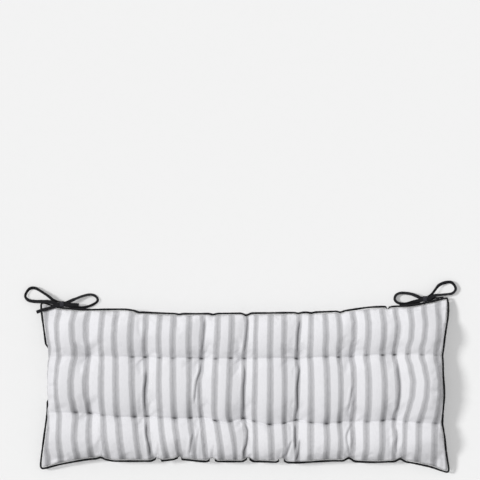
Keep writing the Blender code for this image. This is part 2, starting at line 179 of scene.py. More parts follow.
# The woven stripes: their pitch, how far they are shifted on the cloth, a count for the middle one that keeps
# all counts above 0, and the yarns of one stripe, from its middle out, as places from 0 to 1 and how light the
# yarn is there.
STRIPE_PITCH = 0.042
STRIPE_SHIFT = 0.005
COUNT_FROM = 100.5
YARNS = (
    (0.000, 0.52), (0.070, 0.52), (0.080, 0.76), (0.110, 0.76), (0.120, 0.55), (0.200, 0.56), (0.210, 0.80),
    (0.235, 0.80), (0.245, 0.60), (0.310, 0.61), (0.320, 0.83), (0.345, 0.84), (0.355, 0.68), (0.420, 0.69),
    (0.430, 0.92), (0.446, 0.92), (0.452, 0.80), (0.475, 0.80), (0.482, 1.00), (1.000, 1.00),
)

# Colours of the cloth, of the painted shade and painted shadow lines laid on it (the black also darkens the
# stitches), and of the paper under it, and the width of the threads and the depth of their weave.
COTTON_WHITE = (0.785, 0.782, 0.808, 1)
STRIPE_BLACK = (0.0, 0.0, 0.004, 1)
PAINTED_SHADE_GREY = (0.10, 0.10, 0.108, 1)
SHADOW_AND_STITCH_BLACK = (0.035, 0.035, 0.038, 1)
PIPING_CHARCOAL = (0.006, 0.006, 0.0075)
TAPE_CHARCOAL = (0.009, 0.009, 0.011)
TICKING_THREAD, TICKING_WEAVE = 0.00055, 0.00018
PIPING_THREAD, TAPE_THREAD, TRIM_WEAVE = 0.0007, 0.0006, 0.0003
PAPER_GREYS = ((0.648, 0.648, 0.648, 1), (0.656, 0.656, 0.656, 1))

# Studio: the light of the room, three soft lights with where they come from, and the camera.
FLOOR_SIZE = 30.0
FLOOR_HEIGHT = -0.0005
ROOM_LIGHT = 0.50
WINDOW_LIGHT = 2.02
WINDOW_SPREAD = 40.0
WINDOW_FROM = (-0.44, 0.36, 0.82)
SIDE_LIGHT = 2.60
SIDE_SPREAD = 13.0
SIDE_FROM = (-0.78, 0.10, 0.61)
OVERHEAD_LIGHT = 1.13
OVERHEAD_SPREAD = 12.0
CAMERA_AT = (-0.0142, -0.02, 9.0)
LOOK_AT = (-0.0142, 0.41915, 0.0)
LENS = 233.6

# One row for each crease across the cushion, with the side seams first and last: its place on the
# cloth, its place at the back seam, the two tuft rows and the front seam, how far the tufts
# lie from the middle, how far the front row bows forward in the cell after it, how far the cloth swells
# outwards between the rows, and how deep it creases behind, between and in front of the rows.
Crease = namedtuple(
    "Crease",
    "cloth back back_row front_row front back_tuft front_tuft bow swell deep_back deep_middle deep_front",
)
CREASES = (
    Crease(-0.600, -0.5873, -0.5650, -0.5650, -0.5872, 0.0815, -0.0765, 0.000, 0.000, 0.00, 0.00, 0.00),
    Crease(-0.467, -0.452, -0.452, -0.445, -0.438, 0.0825, -0.0810, 0.006, -0.010, 0.16, 0.18, 0.15),
    Crease(-0.299, -0.285, -0.285, -0.282, -0.270, 0.0795, -0.0900, 0.005, -0.001, 0.20, 0.34, 0.32),
    Crease(-0.131, -0.118, -0.124, -0.124, -0.110, 0.0760, -0.0915, 0.012, -0.003, 0.32, 0.30, 0.32),
    Crease(-0.005, 0.003, -0.004, -0.003, 0.002, 0.0760, -0.0955, 0.014, 0.000, 0.40, 0.36, 0.38),
    Crease(0.163, 0.158, 0.150, 0.147, 0.149, 0.0770, -0.1020, 0.008, 0.003, 0.34, 0.36, 0.34),
    Crease(0.331, 0.315, 0.303, 0.308, 0.311, 0.0820, -0.1035, 0.003, 0.010, 0.22, 0.24, 0.32),
    Crease(0.457, 0.432, 0.428, 0.427, 0.427, 0.0880, -0.1000, 0.002, 0.015, 0.20, 0.32, 0.28),
    Crease(0.600, 0.5865, 0.5660, 0.5660, 0.5864, 0.0860, -0.1120, 0.000, 0.005, 0.00, 0.00, 0.00),
)

# Where the seam lies at the back and at the front, from the left corner to the right one.
Station = namedtuple("Station", "x y")
BACK_SEAM = (
    Station(-0.5875, 0.2372),
    Station(-0.5300, 0.2195),
    Station(-0.4500, 0.2140),
    Station(-0.3500, 0.2150),
    Station(-0.2900, 0.2060),
    Station(-0.1600, 0.2020),
    Station(0.0000, 0.2035),
    Station(0.1500, 0.2055),
    Station(0.2700, 0.2095),
    Station(0.3700, 0.2215),
    Station(0.4600, 0.2245),
    Station(0.5400, 0.2375),
    Station(0.5885, 0.2510),
)
FRONT_SEAM = (
    Station(-0.5875, -0.2400),
    Station(-0.5200, -0.2225),
    Station(-0.4200, -0.2085),
    Station(-0.3700, -0.2155),
    Station(-0.2600, -0.2155),
    Station(-0.1900, -0.2105),
    Station(-0.1100, -0.2165),
    Station(0.0300, -0.2165),
    Station(0.1400, -0.2200),
    Station(0.2600, -0.2145),
    Station(0.3700, -0.2185),
    Station(0.4400, -0.2165),
    Station(0.5200, -0.2285),
    Station(0.5865, -0.2506),
)

# Tucks where the seam is drawn in: place along the seam, depth and half width.
Tuck = namedtuple("Tuck", "x depth half_width")
BACK_TUCKS = (
    Tuck(-0.306, 0.0020, 0.014),
    Tuck(-0.190, 0.0022, 0.014),
    Tuck(-0.092, 0.0030, 0.014),
    Tuck(0.004, 0.0060, 0.017),
    Tuck(0.154, 0.0025, 0.014),
    Tuck(0.191, 0.0025, 0.014),
    Tuck(0.276, 0.0035, 0.015),
    Tuck(0.413, 0.0025, 0.014),
)
FRONT_TUCKS = (
    Tuck(-0.414, 0.0040, 0.016),
    Tuck(-0.256, 0.0060, 0.017),
    Tuck(-0.192, 0.0050, 0.016),
    Tuck(-0.094, 0.0070, 0.018),
    Tuck(0.009, 0.0080, 0.019),
    Tuck(0.106, 0.0085, 0.019),
    Tuck(0.299, 0.0090, 0.020),
    Tuck(0.447, 0.0080, 0.019),
)

# The ties, two tapes at each back corner. Each tape leaves the seam, runs to the knot, makes one loop and
# ends in a tail. One row for each bend: its place, and how far the tape there leans from lying flat.
# The two stems of a corner share their rows, one tape over the other.
Bend = namedtuple("Bend", "x y z lean")
Bow = namedtuple("Bow", "knot side stem far_loop near_tail near_loop far_tail")
KNOT_BOTTOM = 0.0140
LEFT_BOW = Bow(
    knot=Station(-0.528, 0.2330),
    side=-1,
    stem=(
        Bend(-0.5800, 0.2407, 0.0124, -90),
        Bend(-0.5700, 0.2391, 0.0120, -90),
        Bend(-0.5585, 0.2367, 0.0120, -84),
        Bend(-0.5495, 0.2350, 0.0128, -60),
        Bend(-0.5430, 0.2342, 0.0142, -26),
        Bend(-0.5375, 0.2338, 0.0151, -4),
    ),
    far_loop=(
        Bend(-0.5180, 0.2357, 0.0163, 0),
        Bend(-0.5030, 0.2424, 0.0155, 4),
        Bend(-0.4880, 0.2490, 0.0120, 40),
        Bend(-0.4640, 0.2582, 0.0078, 60),
        Bend(-0.4430, 0.2610, 0.0060, 64),
        Bend(-0.4290, 0.2540, 0.0056, 76),
        Bend(-0.4250, 0.2440, 0.0054, 84),
        Bend(-0.4340, 0.2350, 0.0056, 86),
        Bend(-0.4520, 0.2270, 0.0075, 88),
        Bend(-0.4680, 0.2235, 0.0105, 88),
        Bend(-0.4820, 0.2236, 0.0145, 80),
        Bend(-0.4960, 0.2256, 0.0198, 42),
        Bend(-0.5110, 0.2290, 0.0212, 4),
        Bend(-0.5280, 0.2320, 0.0213, 0),
    ),
    near_tail=(
        Bend(-0.5380, 0.2300, 0.0228, 0),
        Bend(-0.5470, 0.2270, 0.0250, 0),
        Bend(-0.5600, 0.2222, 0.0262, 0),
        Bend(-0.5830, 0.2160, 0.0232, 0),
        Bend(-0.6010, 0.2098, 0.0205, 0),
    ),
    near_loop=(
        Bend(-0.5510, 0.2440, 0.0134, 84),
        Bend(-0.5650, 0.2556, 0.0122, 74),
        Bend(-0.5880, 0.2712, 0.0085, 66),
        Bend(-0.6040, 0.2800, 0.0062, 30),
        Bend(-0.6170, 0.2785, 0.0060, 32),
        Bend(-0.6270, 0.2670, 0.0060, 52),
        Bend(-0.6300, 0.2550, 0.0060, 50),
        Bend(-0.6210, 0.2445, 0.0070, 24),
        Bend(-0.6040, 0.2412, 0.0115, 4),
        Bend(-0.5810, 0.2408, 0.0183, 0),
        Bend(-0.5630, 0.2400, 0.0203, 0),
        Bend(-0.5470, 0.2350, 0.0200, 0),
        Bend(-0.5360, 0.2332, 0.0189, 0),
    ),
    far_tail=(
        Bend(-0.5180, 0.2326, 0.0188, 0),
        Bend(-0.5050, 0.2322, 0.0187, 0),
        Bend(-0.4910, 0.2314, 0.0178, 0),
        Bend(-0.4790, 0.2308, 0.0166, 0),
    ),
)
RIGHT_BOW = Bow(
    knot=Station(0.519, 0.2478),
    side=1,
    stem=(
        Bend(0.5730, 0.2529, 0.0124, 90),
        Bend(0.5620, 0.2520, 0.0120, 90),
        Bend(0.5500, 0.2514, 0.0120, 84),
        Bend(0.5405, 0.2500, 0.0128, 60),
        Bend(0.5330, 0.2490, 0.0142, 26),
        Bend(0.5270, 0.2485, 0.0152, 4),
    ),
    far_loop=(
        Bend(0.5080, 0.2502, 0.0163, -2),
        Bend(0.4960, 0.2562, 0.0152, -12),
        Bend(0.4800, 0.2625, 0.0115, -30),
        Bend(0.4620, 0.2655, 0.0080, -34),
        Bend(0.4450, 0.2645, 0.0062, -40),
        Bend(0.4350, 0.2575, 0.0056, -62),
        Bend(0.4330, 0.2465, 0.0056, -66),
        Bend(0.4410, 0.2377, 0.0060, -62),
        Bend(0.4550, 0.2345, 0.0085, -60),
        Bend(0.4700, 0.2356, 0.0125, -62),
        Bend(0.4840, 0.2398, 0.0180, -46),
        Bend(0.4980, 0.2426, 0.0209, -18),
        Bend(0.5100, 0.2452, 0.0213, -2),
        Bend(0.5190, 0.2466, 0.0213, 0),
    ),
    near_tail=(
        Bend(0.5265, 0.2464, 0.0213, -4),
        Bend(0.5330, 0.2446, 0.0198, -40),
        Bend(0.5410, 0.2447, 0.0146, -80),
        Bend(0.5520, 0.2478, 0.0122, -90),
        Bend(0.5600, 0.2490, 0.0118, -90),
    ),
    near_loop=(
        Bend(0.5370, 0.2604, 0.0126, -86),
        Bend(0.5470, 0.2730, 0.0120, -60),
        Bend(0.5590, 0.2880, 0.0095, -26),
        Bend(0.5770, 0.2958, 0.0070, -20),
        Bend(0.5930, 0.2965, 0.0060, -34),
        Bend(0.6030, 0.2860, 0.0058, -56),
        Bend(0.6050, 0.2750, 0.0058, -50),
        Bend(0.5960, 0.2650, 0.0066, -46),
        Bend(0.5800, 0.2618, 0.0092, -50),
        Bend(0.5620, 0.2600, 0.0140, -48),
        Bend(0.5450, 0.2575, 0.0190, -14),
        Bend(0.5310, 0.2508, 0.0192, 0),
    ),
    far_tail=(
        Bend(0.5090, 0.2448, 0.0187, 0),
        Bend(0.4970, 0.2384, 0.0150, 2),
        Bend(0.4870, 0.2332, 0.0118, 50),
        Bend(0.4760, 0.2312, 0.0102, 68),
        Bend(0.4620, 0.2303, 0.0092, 70),
        Bend(0.4460, 0.2296, 0.0080, 64),
    ),
)

# Sharp folds that run down the cover, from the back to the front, with the width of each flank, the ridge beside it
# and how dark the painted shadow in it is.
Fold = namedtuple("Fold", "depth left right ridge dark line")
FOLDS = (
    Fold(0.0016, 0.0090, 0.0060, 0.0004, 0.10, ((-0.4509, 0.0672), (-0.4486, 0.0011), (-0.4457, -0.0763))),
    Fold(0.0012, 0.0090, 0.0060, 0.0000, 0.00, ((-0.4480, 0.1820), (-0.4503, 0.1303), (-0.4509, 0.0901))),
    Fold(0.0014, 0.0080, 0.0050, 0.0000, 0.10, ((-0.2861, 0.1733), (-0.2867, 0.1303), (-0.2861, 0.0872))),
    Fold(0.0049, 0.0027, 0.0050, 0.0016, 0.70, (
        (-0.2827, 0.0499), (-0.2836, 0.0155), (-0.2873, -0.0132), (-0.2876, -0.0419), (-0.2856, -0.0821),
    )),
    Fold(0.0049, 0.0027, 0.0050, 0.0018, 0.62, (
        (-0.2827, -0.1022), (-0.2827, -0.1366), (-0.2790, -0.1567), (-0.2727, -0.1854), (-0.2712, -0.2112),
    )),
    Fold(0.0043, 0.0027, 0.0050, 0.0013, 0.50, ((-0.1157, 0.1963), (-0.1180, 0.1446), (-0.1243, 0.0844))),
    Fold(0.0046, 0.0027, 0.0050, 0.0018, 0.42, (
        (-0.1254, 0.0700), (-0.1274, 0.0442), (-0.1383, 0.0098), (-0.1415, -0.0132), (-0.1455, -0.0591),
    )),
    Fold(0.0038, 0.0027, 0.0050, 0.0021, 0.22, ((-0.1467, -0.1337), (-0.1541, -0.1670), (-0.1599, -0.2055))),
    Fold(0.0022, 0.0035, 0.0035, 0.0012, 0.12, ((-0.1269, -0.1137), (-0.1369, -0.1567), (-0.1398, -0.2026))),
    Fold(0.0052, 0.0027, 0.0050, 0.0018, 0.45, (
        (0.0034, 0.2107), (0.0075, 0.1860), (0.0040, 0.1418), (-0.0026, 0.0844),
    )),
    Fold(0.0046, 0.0027, 0.0050, 0.0016, 0.58, (
        (-0.0037, 0.0672), (-0.0003, 0.0327), (-0.0037, -0.0132), (-0.0032, -0.0878),
    )),
    Fold(0.0052, 0.0027, 0.0050, 0.0018, 0.60, (
        (-0.0026, -0.1022), (0.0029, -0.1165), (0.0075, -0.1337), (0.0052, -0.1670), (-0.0037, -0.1932),
        (-0.0026, -0.2170),
    )),
    Fold(0.0046, 0.0027, 0.0050, 0.0013, 0.52, ((0.1599, 0.1934), (0.1524, 0.1418), (0.1501, 0.0844))),
    Fold(0.0049, 0.0027, 0.0050, 0.0016, 0.85, (
        (0.1507, 0.0700), (0.1556, 0.0442), (0.1501, -0.0132), (0.1512, -0.0563), (0.1467, -0.0936),
    )),
    Fold(0.0052, 0.0027, 0.0050, 0.0018, 0.62, ((0.1441, -0.1108), (0.1441, -0.1452), (0.1452, -0.1911))),
    Fold(0.0046, 0.0027, 0.0050, 0.0013, 0.45, ((0.1570, -0.1510), (0.1541, -0.1911), (0.1446, -0.2227))),
    Fold(0.0035, 0.0027, 0.0050, 0.0018, 0.20, ((0.1343, -0.1567), (0.1243, -0.1854), (0.1128, -0.2141))),
    Fold(0.0014, 0.0080, 0.0050, 0.0000, 0.00, ((0.3057, 0.1733), (0.3051, 0.1303), (0.3045, 0.0901))),
    Fold(0.0035, 0.0027, 0.0050, 0.0016, 0.22, ((0.3102, 0.0040), (0.3036, -0.0362), (0.2947, -0.0821))),
    Fold(0.0038, 0.0027, 0.0050, 0.0018, 0.25, (
        (0.3048, -0.1108), (0.2913, -0.1510), (0.2970, -0.1854), (0.2993, -0.2112),
    )),
    Fold(0.0016, 0.0040, 0.0030, 0.0012, 0.10, ((0.3166, -0.1223), (0.3080, -0.1682), (0.3022, -0.2026))),
    Fold(0.0018, 0.0070, 0.0045, 0.0000, 0.12, ((0.4385, 0.1820), (0.4342, 0.1360), (0.4296, 0.0959))),
    Fold(0.0052, 0.0027, 0.0050, 0.0016, 0.34, (
        (0.4365, 0.0786), (0.4400, 0.0385), (0.4446, -0.0075), (0.4417, -0.0476), (0.4302, -0.0936),
    )),
    Fold(0.0043, 0.0027, 0.0050, 0.0016, 0.32, (
        (0.4331, -0.1165), (0.4360, -0.1452), (0.4339, -0.1768), (0.4365, -0.2055),
    )),
    Fold(0.0018, 0.0045, 0.0035, 0.0010, 0.12, ((0.4543, -0.1567), (0.4492, -0.1854), (0.4469, -0.2198))),
    Fold(0.0035, 0.0027, 0.0050, 0.0018, 0.40, ((0.5648, -0.1108), (0.5691, -0.1309), (0.5763, -0.1510))),
    Fold(0.0018, 0.0035, 0.0030, 0.0010, 0.14, ((-0.1943, -0.1567), (-0.1926, -0.1854), (-0.1914, -0.2112))),
    Fold(0.0018, 0.0035, 0.0030, 0.0010, 0.14, ((-0.2488, -0.1624), (-0.2483, -0.1911), (-0.2477, -0.2170))),
    Fold(0.0018, 0.0035, 0.0030, 0.0010, 0.14, ((-0.0895, -0.1682), (-0.0921, -0.1940), (-0.0938, -0.2198))),
    Fold(0.0018, 0.0040, 0.0035, 0.0010, 0.14, ((-0.4038, -0.1567), (-0.4078, -0.1854), (-0.4124, -0.2112))),
)

# One row for each stripe, from the left: how firm its stitch is, which sets how dark its thread and painted shade
# are, and how hard that pulls the cloth in and lays painted shade along it, at the back row and at the front row,
# and how dark the painted shade on the stripe is at the front seam.
Stitched = namedtuple("Stitched", "back back_pull front front_pull seam")
STITCHES = tuple(Stitched(*row) for row in (
    (0.00, 0.10, 0.00, 0.10, 0.45), (0.00, 0.10, 0.05, 0.10, 0.65), (0.00, 0.35, 0.60, 0.90, 0.75),
    (0.05, 0.60, 0.80, 1.00, 0.95), (0.05, 0.15, 0.30, 0.35, 0.65), (0.15, 0.15, 0.35, 0.50, 0.70),
    (0.60, 0.50, 0.75, 0.85, 0.75), (0.90, 0.45, 0.90, 0.60, 0.90), (0.50, 0.20, 0.20, 0.20, 0.95),
    (0.45, 0.30, 0.75, 0.75, 1.00), (0.60, 0.50, 0.90, 1.00, 0.45), (1.00, 0.60, 0.25, 0.30, 0.50),
    (0.60, 0.20, 0.90, 0.30, 0.85), (0.80, 0.40, 0.45, 0.90, 1.00), (0.75, 0.60, 0.90, 1.00, 0.80),
    (0.15, 0.15, 0.60, 0.35, 0.40), (0.20, 0.15, 0.85, 0.80, 0.60), (0.05, 0.30, 0.85, 1.00, 0.75),
    (1.00, 0.80, 0.95, 0.50, 0.80), (0.30, 0.20, 0.60, 0.60, 0.40), (0.45, 0.50, 0.75, 1.00, 0.75),
    (0.80, 0.60, 0.65, 1.00, 0.70), (0.45, 0.30, 0.15, 0.20, 0.40), (0.45, 0.20, 0.35, 0.50, 0.50),
    (0.85, 0.45, 0.80, 0.85, 0.70), (0.95, 0.50, 0.50, 0.70, 0.65), (0.35, 0.15, 0.30, 0.25, 0.40),
    (0.45, 0.20, 0.40, 0.35, 0.45), (0.35, 0.20, 0.35, 0.60, 0.40),
))

# Where the piping is tucked out of sight along the back and front seams: the middle and half the length of
# each gap.
HIDDEN_AT_BACK = ((0.411, 0.0030),)
HIDDEN_IN_FRONT = ((-0.249, 0.0075), (-0.187, 0.0050), (-0.094, 0.0085), (0.0095, 0.0045), (0.105, 0.0080))

# Where the middles of the stripes run on the filled cushion, from its back to its front: y, then x for each
# stripe, in millimetres here and in metres once read.
STRIPES = tuple((y / 1000, tuple(x / 1000 for x in middles)) for y, middles in (
    (211, (
        -572, -537, -490, -451, -408, -370, -323, -284, -242, -206, -159, -124, -76, -39, 2, 32, 75, 112, 157,
        191, 231, 266, 309, 350, 395, 432, 476, 515, 557,
    )),
    (176, (
        -574, -542, -497, -457, -411, -374, -327, -285, -246, -206, -160, -120, -78, -38, 6, 31, 74, 113, 156,
        189, 232, 271, 314, 354, 399, 438, 479, 518, 557,
    )),
    (136, (
        -568, -540, -495, -456, -414, -376, -329, -287, -248, -208, -161, -124, -79, -39, 5, 29, 73, 112, 152,
        188, 233, 272, 313, 353, 399, 436, 477, 514, 555,
    )),
    (102, (
        -561, -536, -489, -451, -413, -375, -328, -288, -247, -208, -161, -125, -82, -41, 0, 29, 72, 111, 150,
        186, 231, 269, 308, 349, 395, 430, 468, 507, 550,
    )),
    (79, (
        -562, -535, -489, -450, -411, -372, -325, -285, -245, -207, -159, -125, -83, -43, -2, 29, 72, 112, 150,
        186, 232, 270, 306, 348, 395, 429, 467, 507, 549,
    )),
    (50, (
        -562, -540, -495, -454, -411, -371, -324, -284, -246, -207, -160, -126, -85, -44, -2, 29, 73, 113, 152,
        188, 235, 273, 311, 352, 398, 434, 475, 515, 555,
    )),
    (10, (
        -565, -543, -499, -457, -412, -371, -324, -284, -247, -207, -159, -132, -86, -45, -3, 28, 73, 114, 151,
        189, 236, 275, 312, 354, 401, 438, 482, 522, 561,
    )),
    (-30, (
        -564, -542, -498, -456, -412, -370, -322, -288, -246, -206, -160, -131, -87, -47, -6, 27, 73, 114, 150,
        189, 237, 275, 311, 354, 401, 439, 479, 520, 560,
    )),
    (-65, (
        -563, -538, -491, -450, -410, -369, -320, -286, -244, -205, -159, -130, -88, -48, -6, 26, 72, 113, 148,
        189, 237, 274, 312, 353, 400, 436, 470, 513, 556,
    )),
    (-88, (
        -563, -533, -485, -446, -407, -367, -318, -283, -243, -203, -158, -126, -87, -47, -5, 26, 72, 113, 146,
        189, 237, 272, 309, 351, 398, 430, 463, 506, 552,
    )),
    (-117, (
        -567, -534, -487, -448, -405, -362, -314, -281, -240, -201, -155, -122, -79, -40, 0, 28, 73, 113, 145,
        188, 234, 271, 307, 347, 394, 427, 458, 498, 545,
    )),
    (-151, (
        -570, -535, -489, -448, -403, -360, -311, -279, -236, -196, -150, -119, -74, -33, 3, 29, 75, 115, 144,
        188, 236, 274, 310, 347, 394, 430, 457, 497, 543,
    )),
    (-180, (
        -573, -533, -486, -445, -399, -356, -307, -275, -231, -191, -148, -116, -70, -29, -1, 29, 76, 117, 147,
        188, 235, 274, 310, 347, 394, 428, 456, 497, 543,
    )),
    (-205, (
        -567, -530, -481, -441, -394, -352, -303, -271, -225, -187, -145, -114, -68, -27, -3, 31, 77, 113, 150,
        187, 233, 272, 306, 343, 390, 427, 455, 495, 543,
    )),
))

# ---- shared curves -------------------------------------------------------------------------------


def between(first, last, start, end, t):
    """A curve from first to last, t of the way along, with the slopes that it has at its start and at its end."""
    rise = last - first
    return first + start * t + (3 * rise - 2 * start - end) * t**2 + (start + end - 2 * rise) * t**3


def smooth_through(x, knots, values):
    """A curve through the knots that never overshoots them, flat at its ends."""
    knots = np.asarray(knots, float)
    values = np.asarray(values, float)
    slope = np.diff(values) / np.diff(knots)
    before, after = slope[:-1], slope[1:]
    same_way = before * after > 0
    mean = np.where(same_way, 2 * before * after / np.where(same_way, before + after, 1.0), 0.0)
    tangent = np.concatenate([slope[:1], mean, slope[-1:]])
    x = np.clip(x, knots[0], knots[-1])
    i = np.clip(np.searchsorted(knots, x, side="right") - 1, 0, len(knots) - 2)
    span = knots[i + 1] - knots[i]
    t = (x - knots[i]) / span
    return between(values[i], values[i + 1], tangent[i] * span, tangent[i + 1] * span, t)


def smooth_step(share):
    """From 0 to 1 as the share goes from 0 to 1, flat at both ends."""
    share = np.clip(share, 0, 1)
    return share * share * (3 - 2 * share)


def bell(distance, width):
    """1 at no distance, and nearly 0 from twice the width on."""
    return np.exp(-((distance / width) ** 2))


def seam_line(x, stations, tucks, inward):
    """Where the seam lies at x, with its tucks drawn inward."""
    y = smooth_through(x, [s.x for s in stations], [s.y for s in stations])
    for tuck in tucks:
        near = np.clip(np.abs(x - tuck.x) / tuck.half_width, 0, 1)
        y = y + inward * tuck.depth * (1 + np.cos(math.pi * near)) / 2
    return y


def of_creases(u, field):
    """A value of CREASES at each place across the cloth."""
    return np.interp(u, [c.cloth for c in CREASES], [getattr(c, field) for c in CREASES])


def cell_share(u):
    """How far across its cell a place lies, and the number of the crease on the left of the cell."""
    cloth = np.array([c.cloth for c in CREASES])
    i = np.clip(np.searchsorted(cloth, u, side="right") - 1, 0, len(cloth) - 2)
    return (u - cloth[i]) / (cloth[i + 1] - cloth[i]), i


def level_places(u):
    """x and y at the back seam, the back row, the front row and the front seam."""
    share, cell = cell_share(u)
    x = [of_creases(u, field) for field in ("back", "back_row", "front_row", "front")]
    bow = np.array([c.bow for c in CREASES])[cell] * np.sin(math.pi * share)
    y = [
        seam_line(x[0], BACK_SEAM, BACK_TUCKS, -1),
        of_creases(u, "back_tuft"),
        of_creases(u, "front_tuft") - bow,
        seam_line(x[3], FRONT_SEAM, FRONT_TUCKS, 1),
    ]
    return x, y


def plan(u, v):
    """Where a place (u, v) on the cloth lies, seen from above."""
    x, y = level_places(u)
    levels = (CUT_DEPTH / 2, ROW_CLOTH, -ROW_CLOTH, -CUT_DEPTH / 2)
    to_end = np.clip((np.abs(u) - END_SWELL_FROM) / END_SWELL_LENGTH, 0, 1)
    swell = of_creases(u, "swell") + END_SWELL * np.sin(math.pi * to_end) * np.sign(u)
    swells = (0.6 * swell, swell, 0.5 * np.minimum(swell, 0))
    at_x = np.zeros(np.broadcast(u, v).shape)
    at_y = np.zeros_like(at_x)
    for band in range(3):
        high, low = levels[band], levels[band + 1]
        inside = (v <= high) & (v >= low)
        t = np.clip((high - v) / (high - low), 0, 1)
        arc = swells[band] * 4 * t * (1 - t)
        at_x = np.where(inside, x[band] + (x[band + 1] - x[band]) * t + arc, at_x)
        at_y = np.where(inside, y[band] + (y[band + 1] - y[band]) * t, at_y)
    corner = np.clip(np.abs(u) / (CUT_WIDTH / 2), 0, 1) ** 60 * np.clip(np.abs(v) / (CUT_DEPTH / 2), 0, 1) ** 26
    return at_x - np.sign(u) * CORNER_TUCK * corner, at_y - np.sign(v) * CORNER_TUCK * corner


def edge_rise(distance):
    """How far the rounded edge has risen at a distance from the seam, from 0 to 1."""
    away = 1 - np.clip(distance / EDGE_ROUND, 0, 1)
    return np.sqrt(1 - away**2)


def fullness(u, v):
    """How full the cushion is over a place on the cloth, from 0 at the seam to 1 on a crown."""
    to_side, to_seam = CUT_WIDTH / 2 - np.abs(u), CUT_DEPTH / 2 - np.abs(v)
    full = edge_rise(to_side * SIDE_FIRMNESS) * edge_rise(to_seam)
    full = full * smooth_step(np.hypot(to_side, to_seam) / CORNER_FLAT)
    to_row = np.abs(np.abs(v) - ROW_CLOTH)
    row_depth = np.where(v > 0, BACK_ROW_SHARE, 1.0) * ROW_DEPTH
    full = full * (1 - row_depth * np.clip(1 - to_row / ROW_REACH, 0, 1) ** ROW_SHARPNESS)
    for crease in CREASES[1:-1]:
        to_crease = np.abs(u - crease.cloth)
        deep = np.interp(
            -v, (-ROW_CLOTH * 2, 0, ROW_CLOTH * 2), (crease.deep_back, crease.deep_middle, crease.deep_front)
        )
        full = full * (1 - COLUMN_SHARE * deep * np.clip(1 - to_crease / COLUMN_REACH, 0, 1) ** COLUMN_SHARPNESS)
        to_tuft = np.hypot(to_crease, to_row)
        full = full * (1 - TUFT_DEPTH * np.clip(1 - to_tuft / TUFT_REACH, 0, 1) ** 2)
    return full


def seam_height(u, v):
    """Height of the seam over the floor, lower at the corners."""
    cornered = (np.abs(u) / (CUT_WIDTH / 2)) ** 8 * (np.abs(v) / (CUT_DEPTH / 2)) ** 4
    return SEAM_HEIGHT - CORNER_DROP * cornered


def top_height(u, v):
    return seam_height(u, v) + CROWN * fullness(u, v)


def under_height(u, v):
    seam = seam_height(u, v)
    return np.maximum(0.0, seam - (seam + FLOOR_PRESS) * fullness(u, v) ** UNDER_DEPTH)


# ---- mesh helpers ----------------------------------------------------------------------------------


def mesh_object(name, points, faces, material):
    mesh = bpy.data.meshes.new(name)
    mesh.from_pydata([tuple(p) for p in points], [], faces)
    mesh.update()
    mesh.shade_smooth()
    mesh.materials.append(material)
    obj = bpy.data.objects.new(name, mesh)
    bpy.context.scene.collection.objects.link(obj)
    return obj


def tube_faces(rings, around, closed=False):
    """Faces between rings of points, and from the last ring to the first where the tube is closed."""
    faces = []
    for n in range(rings if closed else rings - 1):
        after = (n + 1) % rings
        for k in range(around):
            turned = (k + 1) % around
            faces.append((n * around + turned, n * around + k, after * around + k, after * around + turned))
    return faces


def mark_points(mesh, name, values):
    """Stores a vector on each point of the mesh, for the material to read."""
    layer = mesh.attributes.new(name, "FLOAT_VECTOR", "POINT")
    layer.data.foreach_set("vector", np.asarray(values, np.float32).reshape(-1))


def mark_values(mesh, name, values):
    """Stores a number on each point of the mesh, for the material to read."""
    layer = mesh.attributes.new(name, "FLOAT", "POINT")
    layer.data.foreach_set("value", np.asarray(values, np.float32))


def read_points(mesh):
    flat = np.empty(len(mesh.vertices) * 3, np.float64)
    mesh.vertices.foreach_get("co", flat)
    return flat.reshape(-1, 3)


# ---- shader helpers --------------------------------------------------------------------------------


def new_group(name, inputs, outputs):
    """A shader node group with named sockets. Returns the tree and its two end nodes."""
    tree = bpy.data.node_groups.new(name, "ShaderNodeTree")
    for label, kind, value in inputs:
        socket = tree.interface.new_socket(name=label, in_out="INPUT", socket_type=kind)
        if value is not None:
            socket.default_value = value
    for label, kind in outputs:
        tree.interface.new_socket(name=label, in_out="OUTPUT", socket_type=kind)
    return tree, tree.nodes.new("NodeGroupInput"), tree.nodes.new("NodeGroupOutput")


class Wiring:
    """Short calls for the nodes of one tree."""

    def __init__(self, tree):
        self.tree = tree

    def node(self, kind, **settings):
        made = self.tree.nodes.new(kind)
        for key, value in settings.items():
            setattr(made, key, value)
        return made

    def join(self, source, target):
        self.tree.links.new(source, target)

    def put(self, value, socket):
        if isinstance(value, bpy.types.NodeSocket):
            self.join(value, socket)
        else:
            socket.default_value = value

    def math(self, operation, *values, clamp=False):
        made = self.node("ShaderNodeMath", operation=operation, use_clamp=clamp)
        for value, socket in zip(values, made.inputs):
            self.put(value, socket)
        return made.outputs[0]

    def fall(self, square):
        """1 where the square is 0, falling off smoothly as it grows."""
        return self.math("EXPONENT", self.math("MULTIPLY", square, -1.0))

    def mix(self, share, first, second):
        made = self.node("ShaderNodeMix", data_type="RGBA")
        self.put(share, made.inputs[0])
        self.put(first, made.inputs[6])
        self.put(second, made.inputs[7])
        return made.outputs[2]

    def ramp(self, share, stops):
        made = self.node("ShaderNodeValToRGB")
        points = made.color_ramp.elements
        while len(points) < len(stops):
            points.new(0.5)
        for point, (at, value) in zip(points, stops):
            point.position = at
            point.color = (value, value, value, 1)
        self.put(share, made.inputs[0])
        return made.outputs[0]

    def noise(self, place, scale, detail):
        made = self.node("ShaderNodeTexNoise")
        self.put(place, made.inputs["Vector"])
        made.inputs["Scale"].default_value = scale
        made.inputs["Detail"].default_value = detail
        return made.outputs[0]

    def attribute(self, name, output="Vector"):
        return self.node("ShaderNodeAttribute", attribute_name=name).outputs[output]

    def stretch(self, place, scale):
        made = self.node("ShaderNodeVectorMath", operation="MULTIPLY")
        self.put(place, made.inputs[0])
        made.inputs[1].default_value = scale
        return made.outputs[0]

    def parts(self, place):
        made = self.node("ShaderNodeSeparateXYZ")
        self.put(place, made.inputs[0])
        return made.outputs


